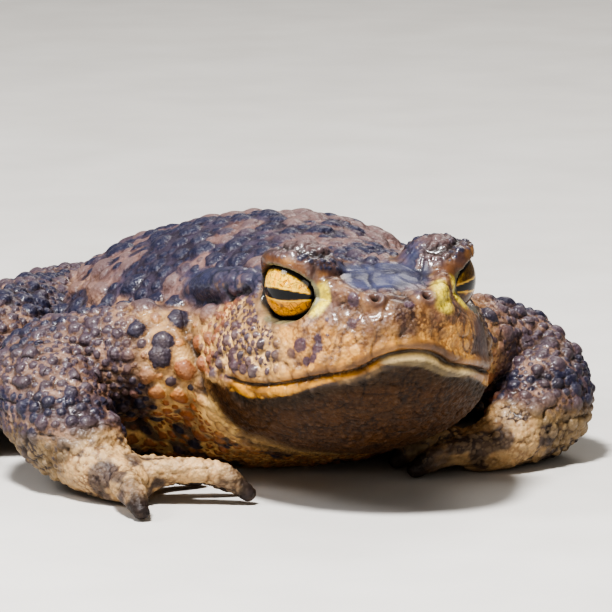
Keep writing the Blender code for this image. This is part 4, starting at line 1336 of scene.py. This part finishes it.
def wart_colours(points, parts, looks, tone):
    """The colour of the warts' tops. tone is one value for each wart: from 0 to 1 darker, and 2 for rust."""
    _, y, z = points.T
    blotch = noise(points, 7.0, 31)
    body = 1 - parts["limb"]
    flank = soft(z + blotch, 22, 19) * body * (1 - 0.8 * soft(y, 38, 48) * soft(z, 10, 14))
    cheek = np.maximum(looks["cheek"], looks["muzzle"])
    under = soft(z + 1.4 * blotch, 8.4, 5.6) * parts["limb"]
    layers = [
        (UMBER, soft(tone, 0.42, 0.25) * body),
        (FLANK_WART, flank * soft(tone, 0.52, 0.40)),
        (NAVY, soft(tone, 0.50, 0.62)),
        (BELLY_WART, soft(z + blotch, 11.0, 9.0) * soft(tone, 0.85, 0.7) * body),
        (MAUVE, cheek),
        (NAVY, 0.5 * cheek * soft(tone, 0.45, 0.6)),
        (RUST, cheek * soft(y, 17.0, 20.0) * soft(tone, 0.45, 0.35)),
        (MUZZLE_PEBBLE, looks["muzzle"]),
        (MUZZLE_BROWN, 0.4 * looks["muzzle"] * soft(tone, 0.6, 0.8)),
        (MAUVE, looks["muzzle"] * soft(tone, *SET_TONE)),
        (CHEST_WART, looks["chest"] * soft(tone, 0.66, 0.5) * body),
        # Partly painted shade: the throat's warts are darkened like its skin.
        (THROAT_PEBBLE_SHADED, 0.85 * looks["throat"]),
        (GLAND_SKIN, 0.8 * looks["gland"]),
        (UNDER_SKIN, 0.85 * under),
        (UNDER_PATCH, under * soft(tone, 0.62, 0.75)),
        (HAND_SKIN, 0.7 * parts["hand"] * (1 - parts["end"])),
        (RUST, soft(tone, 1.4, 1.6)),
    ]
    return painted(PLUM, layers)


def colours_of(points, normals, parts, looks, tone, holes):
    """The colours of the ground and of the warts' tops, which are much alike on the face and the throat."""
    ground = ground_colours(points, normals, parts, looks)
    cap = wart_colours(points, parts, looks, tone)
    below = soft(looks["over"], -0.2, -0.8) * soft(points[:, 1], 25, 19)
    snout = looks["muzzle"] * soft(tone, *SET_TONE[::-1])
    alike = 0.92 * np.max([snout, below, far_cheek(points, looks["over"])], axis=0)
    cap += (1.06 * ground - cap) * alike[:, None]
    ring = soft(np.abs(nearest(points, holes) - PORE_RING[1]), 0.6, 0.2)
    ground += (np.array(GLAND_SKIN) - ground) * (0.35 * ring)[:, None]
    return ground, cap


def shade_in_hollows_of(points, parts, looks):
    """How much painted shade the hollows between warts get: least on the pale cheeks and flanks."""
    pale = [looks["cheek"], 0.7 * looks["muzzle"], soft(points[:, 2], 21, 18) * (1 - parts["limb"])]
    return 1 - 0.35 * np.max(pale, axis=0) * (1 - looks["patch"]) - 0.3 * looks["muzzle"]


def wetness(points, looks):
    """The glossiest places are the lids, the lips and the glands; below 0 the skin is duller than usual."""
    shaded = far_cheek(points, looks["over"])
    face = np.maximum(looks["cheek"], looks["muzzle"]) * (1 - shaded)
    places = [0.6 * lids_of(points, 1.7, 2.0), 0.5 * looks["lips"], 0.4 * looks["gland"], 0.25 * face]
    dry = 0.12 * looks["crown"] + 0.3 * np.maximum(shaded, looks["throat"])
    return np.clip(np.max(places, axis=0), 0, 1) - dry


def store(mesh, name, values):
    """Keeps one number or one colour for each point of a mesh."""
    if values.ndim == 1:
        kept = mesh.attributes.new(name, "FLOAT", "POINT")
        kept.data.foreach_set("value", values.astype(np.float32))
        return
    kept = mesh.attributes.new(name, "FLOAT_COLOR", "POINT")
    full = np.column_stack([values, np.ones(len(values))])
    kept.data.foreach_set("color", full.astype(np.float32).ravel())


def lid_forms(points):
    """The swell of the upper lid, and the folds of both lids from 0 to 1."""
    eye = eye_view(points)
    on_orbit = soft(eye.far, ORBIT_RADIUS + 2.0, ORBIT_RADIUS + 1.2) * soft(eye.depth, -2.0, 0.0)
    swell = 0.30 * bell(eye.ring - 1.42, 0.22) * soft(eye.across, 0.2, 1.2) * on_orbit
    fold = np.zeros(len(points))
    for share, ring, width, start, end in LID_FOLDS:
        fold += share * bell(eye.ring - ring, width) * soft(eye.across, start, end) * on_orbit
    return swell, fold


def swell_skin(points, parts, looks, plain):
    """How far the skin swells or sinks before it has warts, and how much painted shade its folds and creases
    get.
    """
    rough = 1 - 0.7 * plain
    grown = 0.26 * noise(points, 5.5, 1) * rough * soft(points[:, 2], 0.3, 2.0)
    grown += 0.10 * noise(points, 1.9, 2) * rough
    wrinkle = bell(noise(points, 2.3, 7), 0.10) * soft(points[:, 1], 26, 14)
    wrinkle *= 1 - 0.9 * far_cheek(points, looks["over"])
    grown -= 0.16 * wrinkle
    across_limb = points * np.array((0.6, 0.8, 1.3))
    limb_crease = bell(noise(across_limb, 2.0, 44), 0.11) * (parts["arm"] + parts["leg"])
    grown -= 0.2 * limb_crease
    round_throat = points * np.array((0.5, 0.5, 1.6))
    crease = bell(noise(round_throat, 1.5, 9), 0.13) * looks["throat"]
    grown -= 0.13 * crease
    grown += 0.12 * looks["muzzle"] * noise(points, 1.5, 12)
    smooth = np.maximum(looks["crown"], looks["gland"])
    grown += smooth * (0.12 * noise(points, 2.2, 10) + 0.035 * noise(points, 0.8, 11))
    swell, lid_fold = lid_forms(points)
    grown += swell
    grown -= 0.35 * lid_fold
    sunk, fold = folds_of(points)
    grown -= sunk * (1 - parts["hand"])
    return grown, [0.7 * fold, 0.85 * lid_fold, 0.3 * wrinkle, 0.45 * crease, 0.35 * limb_crease]


def open_mouth_and_nostrils(points, looks, holes):
    """How far lips and nostrils push the skin out, and the mouth's groove and the nostrils from 0 to 1."""
    over, near = looks["over"], looks["near_mouth"]
    groove = near * bell(over, LIP_GROOVE[1])
    push = -LIP_GROOVE[0] * groove
    for height, middle, width in LIP_ROLLS:
        push += height * near * bell(over - middle, width)
    hollow = np.zeros(len(points))
    for hole in holes:
        apart = nearest(points, [hole])
        push += PORE_RING[0] * bell(apart - PORE_RING[1], PORE_RING[2])
        push -= PORE[0] * bell(apart, PORE[1])
        # Where the nostril hole gets its painted shade.
        hollow = np.maximum(hollow, np.exp(-((apart / PORE[2]) ** 4)))
    return push, groove, hollow


def make_skin():
    """The toad's skin with its warts, folds, lips and nostrils, still in the frame of the tables."""
    skin = bare_skin()
    mesh = skin.data
    tree = tree_of(skin)
    holes = [on_surface(tree, *nostril_line(side), 0.0) for side in SIDES.values()]
    points, normals = points_of(mesh), normals_of(mesh)
    parts, looks = body_parts(points), looks_of(points, normals)
    plain = plain_places(points, looks)
    grown, creases = swell_skin(points, parts, looks, plain)
    points += normals * grown[:, None]
    place_points(mesh, points)
    normals = normals_of(mesh)

    draw = np.random.default_rng(SEED)
    radius = wart_radius(points, normals, parts, looks)
    warts, tones = all_warts(points, radius, crowding(points, parts), plain, draw)
    rise, top, tone = raise_warts(points, normals, warts, wart_height(points, parts, looks), tones)
    points += normals * (rise * soft(points[:, 2], 0.1, 0.9))[:, None]
    push, groove, hollow = open_mouth_and_nostrils(points, looks, holes)
    points += normals * push[:, None]
    points[:, 2] = np.maximum(points[:, 2], 0)
    place_points(mesh, points)

    relief = relief_of(mesh, points, normals_of(mesh))
    ground, cap = colours_of(points, normals, parts, looks, tone, holes)
    kept = {
        "ground": ground,
        "cap": cap,
        "top": top,
        # Painted shade in the mouth's groove, the nostrils, and the folds and creases.
        "dark": np.clip(np.max([groove, hollow, *creases], axis=0), 0, 1),
        # How strong the painted shade in the hollows between warts is.
        "hollow_shade": shade_in_hollows_of(points, parts, looks),
        "wet": wetness(points, looks),
        "plain": plain,
        "relief": relief,
    }
    for name, values in kept.items():
        store(mesh, name, values)
    mesh.materials.clear()
    mesh.materials.append(skin_material())
    mesh.shade_smooth()
    return skin


class Shading:
    """The nodes of one material. A value given to a node is a number, a colour or another node's socket."""

    def __init__(self, name):
        self.material = bpy.data.materials.new(name)
        self.material.use_nodes = True
        self.nodes = self.material.node_tree.nodes
        self.links = self.material.node_tree.links

    def give(self, socket, value):
        if isinstance(value, bpy.types.NodeSocket):
            self.links.new(value, socket)
        elif isinstance(value, tuple):
            socket.default_value = (*value, 1)
        else:
            socket.default_value = value

    def add(self, kind, inputs, **traits):
        node = self.nodes.new(f"ShaderNode{kind}")
        for trait, value in traits.items():
            setattr(node, trait, value)
        for key, value in inputs.items():
            self.give(node.inputs[key], value)
        return node

    def stored(self, name, output="Fac"):
        """A value kept on the mesh's points."""
        return self.add("Attribute", {}, attribute_name=name).outputs[output]

    def mix(self, blend, factor, first, second):
        inputs = {0: factor, 6: first, 7: second}
        return self.add("Mix", inputs, data_type="RGBA", blend_type=blend).outputs[2]

    def ranged(self, value, low, high, to_low=0.0, to_high=1.0):
        """A value stretched from one range to another and kept inside it."""
        inputs = {"Value": value, "From Min": low, "From Max": high, "To Min": to_low, "To Max": to_high}
        return self.add("MapRange", inputs).outputs["Result"]

    def maths(self, kind, first, second):
        return self.add("Math", {0: first, 1: second}, operation=kind).outputs[0]

    def millimetres(self):
        """The place on the model in millimetres."""
        place = self.add("TexCoord", {}).outputs["Object"]
        return self.add("VectorMath", {0: place, "Scale": 1 / MM}, operation="SCALE").outputs[0]

    def grain(self, where, per_mm, detail):
        inputs = {"Vector": where, "Scale": per_mm, "Detail": detail}
        return self.add("TexNoise", inputs).outputs["Fac"]

    def cells(self, where, per_mm, feature, **inputs):
        """The distance in a pattern of rounded cells."""
        inputs |= {"Vector": where, "Scale": per_mm}
        return self.add("TexVoronoi", inputs, feature=feature).outputs["Distance"]

    def finished(self, surface):
        """The material with the values of its surface."""
        for key, value in surface.items():
            self.give(self.nodes["Principled BSDF"].inputs[key], value)
        return self.material


def skin_material():
    """Moist warty skin: dark warts on paler ground, fine granules, painted shade in the folds and hollows,
    painted highlights on the rises.
    """
    look = Shading("toad_skin")
    where = look.millimetres()
    slow, quick = look.grain(where, 0.35, 5), look.grain(where, 2.4, 6)
    granules = look.ranged(look.cells(where, 2.3, "SMOOTH_F1", Smoothness=0.4), 0.0, 0.75, 1.0, 0.0)
    top, plain, dark, hollow_shade, wet, relief = map(look.stored, ("top", "plain", "dark", "hollow_shade", "wet", "relief"))

    ground = look.stored("ground", "Color")
    light = look.mix("MULTIPLY", 1.0, ground, GROUND_LIGHT)
    deep = look.mix("MULTIPLY", 1.0, ground, GROUND_DEEP)
    varied = look.mix("MIX", look.ranged(slow, 0.38, 0.62), deep, light)
    speckled = look.mix("MIX", look.ranged(quick, 0.40, 0.30, 0.0, 0.6), varied, deep)
    ragged = look.maths("MULTIPLY", look.maths("SUBTRACT", quick, 0.5), 0.7)
    edged = look.maths("ADD", top, ragged)
    capped = look.ranged(edged, 0.12, 0.45, 0.0, 0.94)
    warty = look.mix("MIX", capped, speckled, look.stored("cap", "Color"))
    # Painted highlight: the very tops of the warts are lightened.
    lightening = look.ranged(edged, 0.78, 1.1, 0.0, 0.14)
    tops_highlighted = look.mix("MIX", lightening, warty, WART_TOP_HIGHLIGHT)
    # Painted shade: the hollows between warts darken by how deep they lie.
    hollow = look.maths("MULTIPLY", hollow_shade, look.ranged(relief, -0.02, -0.22, 0.0, 0.9))
    hollows_shaded = look.mix("MULTIPLY", hollow, tops_highlighted, HOLLOW_SHADE_TINT)
    # Painted highlight: skin that stands out of its surroundings is lightened.
    raised = look.ranged(relief, 0.06, 0.34, 0.0, 0.14)
    lit = look.mix("SCREEN", raised, hollows_shaded, RISE_HIGHLIGHT)
    # Painted shade darkens the folds, creases, mouth groove and nostrils.
    recess_shaded = look.mix("MIX", look.maths("MULTIPLY", dark, 0.9), lit, RECESS_SHADE_TINT)

    gloss = look.ranged(quick, 0.3, 0.7, 0.44, 0.64)
    coat = look.ranged(wet, -0.3, 1.0, 0.0, 0.85)
    small = look.maths("MULTIPLY", granules, look.ranged(plain, 0.0, 1.0, 1.0, 0.35))
    height = look.maths("ADD", small, look.maths("MULTIPLY", quick, 0.55))
    bump = look.add("Bump", {"Strength": 0.75, "Distance": 0.13 * MM, "Height": height})
    surface = {
        "Base Color": recess_shaded,
        "Roughness": gloss,
        "Coat Weight": coat,
        "Coat Roughness": 0.19,
        "Specular IOR Level": 0.35,
        "Normal": bump.outputs["Normal"],
    }
    return look.finished(surface)


def eye_material():
    """A golden iris with dark veins round a slit pupil, under a clear wet cornea."""
    look = Shading("toad_eye")
    where = look.millimetres()
    pupil, limbus, high, rim = map(look.stored, ("pupil", "limbus", "high", "rim"))
    mottled = look.grain(where, 1.7, 6)
    shaded = look.mix("MIX", high, IRIS_LOW, IRIS_HIGH)
    iris = look.mix("MIX", look.ranged(mottled, 0.47, 0.57, 0.0, 0.75), shaded, IRIS_LOW)
    net = look.ranged(look.cells(where, 1.5, "DISTANCE_TO_EDGE"), 0.0, 0.07, 0.85, 0.0)
    broken = look.maths("MULTIPLY", net, look.ranged(mottled, 0.36, 0.54))
    netted = look.mix("MIX", broken, iris, IRIS_VEIN)
    # A darker copy of the iris, painted in as shade on the far eye.
    dusky = look.mix("MIX", look.ranged(mottled, 0.50, 0.34, 0.0, 0.7), netted, IRIS_VEIN)
    far_shaded_iris = look.mix("MIX", look.stored("dusk"), dusky, IRIS_VEIN)
    gilt = look.mix("MIX", rim, far_shaded_iris, IRIS_HIGH)
    ringed = look.mix("MIX", limbus, gilt, LIMBUS)
    slit = look.mix("MIX", pupil, ringed, PUPIL_BLACK)
    surface = {
        "Base Color": slit,
        "Roughness": 0.5,
        "Specular IOR Level": 0.1,
        "Coat Weight": 1.0,
        "Coat Roughness": 0.02,
        "Coat IOR": 1.38,
    }
    return look.finished(surface)


def floor_material():
    """A pale matt floor, a little uneven in tone."""
    look = Shading("pale_floor")
    tone = look.ranged(look.grain(look.millimetres(), 0.05, 3), 0.3, 0.7)
    return look.finished({"Base Color": look.mix("MIX", tone, *FLOOR_TONES), "Roughness": 0.75})


def make_eye(word, side, material):
    """An eye as a full ball, with its pupil and the rims of its iris kept on its points."""
    eye = ellipsoid(f"iris_{word}", eye_centre(side), [EYE_RADIUS] * 3, detail=6)
    mesh = eye.data
    looks, ahead, upward = (np.array(axis) for axis in eye_axes(side))
    away = points_of(mesh) - np.array(EYE_CENTRE) * (side, 1, 1)
    along, across, depth = away @ ahead - IRIS_SET[0], away @ upward - IRIS_SET[1], away @ looks
    front = soft(depth, 0.0, 0.6)

    slit = along - PUPIL_AHEAD
    tilt = math.radians(PUPIL_TILT)
    long = slit * math.cos(tilt) + across * math.sin(tilt)
    wide = across * math.cos(tilt) - slit * math.sin(tilt)
    half_length, half_width = PUPIL
    pinch = PUPIL_ENDS + (1 - PUPIL_ENDS) * np.maximum(1 - (np.abs(long) / half_length) ** 2.0, 0)
    inside = half_width * pinch - np.abs(wide) - 2 * soft(np.abs(long), half_length - 0.1, half_length + 0.4)
    store(mesh, "pupil", soft(inside, -0.03, 0.05) * front)
    store(mesh, "rim", 0.75 * soft(inside, -0.32, -0.10) * soft(inside, 0.0, -0.06) * front)
    # The upper half of the iris is paler gold: partly its own colour and partly a painted highlight from the
    # light above.
    store(mesh, "high", soft(wide, -0.5, 0.9))

    outer = soft(np.hypot(along, across), IRIS_RADIUS - 0.15, IRIS_RADIUS)
    # The dark ring follows the lids' edge as well as the iris: partly the eye's own dark ring and partly
    # painted shade under the lids.
    edge = np.hypot(along / EYE_OPENING[0], across / EYE_OPENING[1]) + 0.03 * along / EYE_OPENING[0]
    store(mesh, "limbus", np.clip(outer + soft(edge, 0.86, 0.93) + 1 - front, 0, 1))
    # Painted shade on the left, far eye: its iris darkens in blotches.
    dusk = 0.9 * soft(noise(away, 1.6, 41) + 0.5 * noise(away, 0.7, 42), -0.35, 0.15)
    store(mesh, "dusk", dusk * (side > 0))
    mesh.materials.append(material)
    mesh.shade_smooth()
    return eye


def make_floor():
    edit = bmesh.new()
    bmesh.ops.create_grid(edit, x_segments=8, y_segments=8, size=FLOOR_HALF)
    floor = object_from("floor", edit)
    floor.data.materials.append(floor_material())


def aimed(thing, place, aim):
    thing.location = place
    thing.rotation_euler = (Vector(aim) - Vector(place)).to_track_quat("-Z", "Y").to_euler()


def make_lights(middle):
    """Soft lights round the toad under an even pale sky."""
    for name, (place, size, watts, colour) in LIGHTS.items():
        lamp = bpy.data.lights.new(name, "AREA")
        lamp.shape = "DISK"
        lamp.size = size
        lamp.energy = watts
        lamp.color = colour
        aimed(linked(name, lamp), middle + Vector(place), middle)
    world = bpy.data.worlds.new("studio")
    bpy.context.scene.world = world
    world.use_nodes = True
    sky = world.node_tree.nodes["Background"]
    sky.inputs["Color"].default_value = (*SKY_COLOUR, 1)
    sky.inputs["Strength"].default_value = SKY_STRENGTH
    bpy.context.scene.view_settings.look = "AgX - High Contrast"


def make_camera(shift):
    """The photograph's view: from the toad's right, a little above its snout, through a long lens."""
    turn, rise = math.radians(CAMERA_TURN), math.radians(CAMERA_RISE)
    toward = Vector((-math.sin(turn) * math.cos(rise), -math.cos(turn) * math.cos(rise), math.sin(rise)))
    right = Vector((math.cos(turn), -math.sin(turn), 0))
    upward = toward.cross(right)
    seen = Vector(CAMERA_AIM) * MM + shift
    centre = seen - right * CAMERA_ASIDE[0] * MM - upward * CAMERA_ASIDE[1] * MM
    lens = bpy.data.cameras.new("camera")
    lens.sensor_width = CAMERA_SENSOR
    lens.lens = CAMERA_SENSOR * CAMERA_DISTANCE / CAMERA_WIDTH
    lens.clip_start, lens.clip_end = CAMERA_CLIP
    camera = linked("camera", lens)
    aimed(camera, seen + toward * CAMERA_DISTANCE * MM, centre)
    bpy.context.scene.camera = camera


def shift_to_solids():
    """From the tables' place to the solids': the left eye gives y, both eyes together give x."""
    low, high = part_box("eye_left")
    right_low, right_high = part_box("eye_right")
    shift = (low + high) / 2 - Vector(EYE_CENTRE) * MM
    shift.x = (low.x + high.x + right_low.x + right_high.x) / 4
    shift.z = 0
    return shift


def main():
    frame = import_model()
    shift = shift_to_solids()
    skin = make_skin()
    flesh = [name for name in frame["nodes"] if not name.startswith("eye_")]
    eye_look = eye_material()
    pieces = [(skin, flesh, "warty_skin")]
    for word, side in SIDES.items():
        pieces.append((make_eye(word, side, eye_look), [f"eye_{word}"], "eye"))
    for piece, nodes, slot in pieces:
        piece.data.transform(Matrix.Translation(shift))
        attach(piece, "root")
        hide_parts(*nodes)
    make_floor()
    make_lights(shift + Vector(LIGHTS_AIM) * MM)
    make_camera(shift)
    bpy.context.view_layer.update()


main()
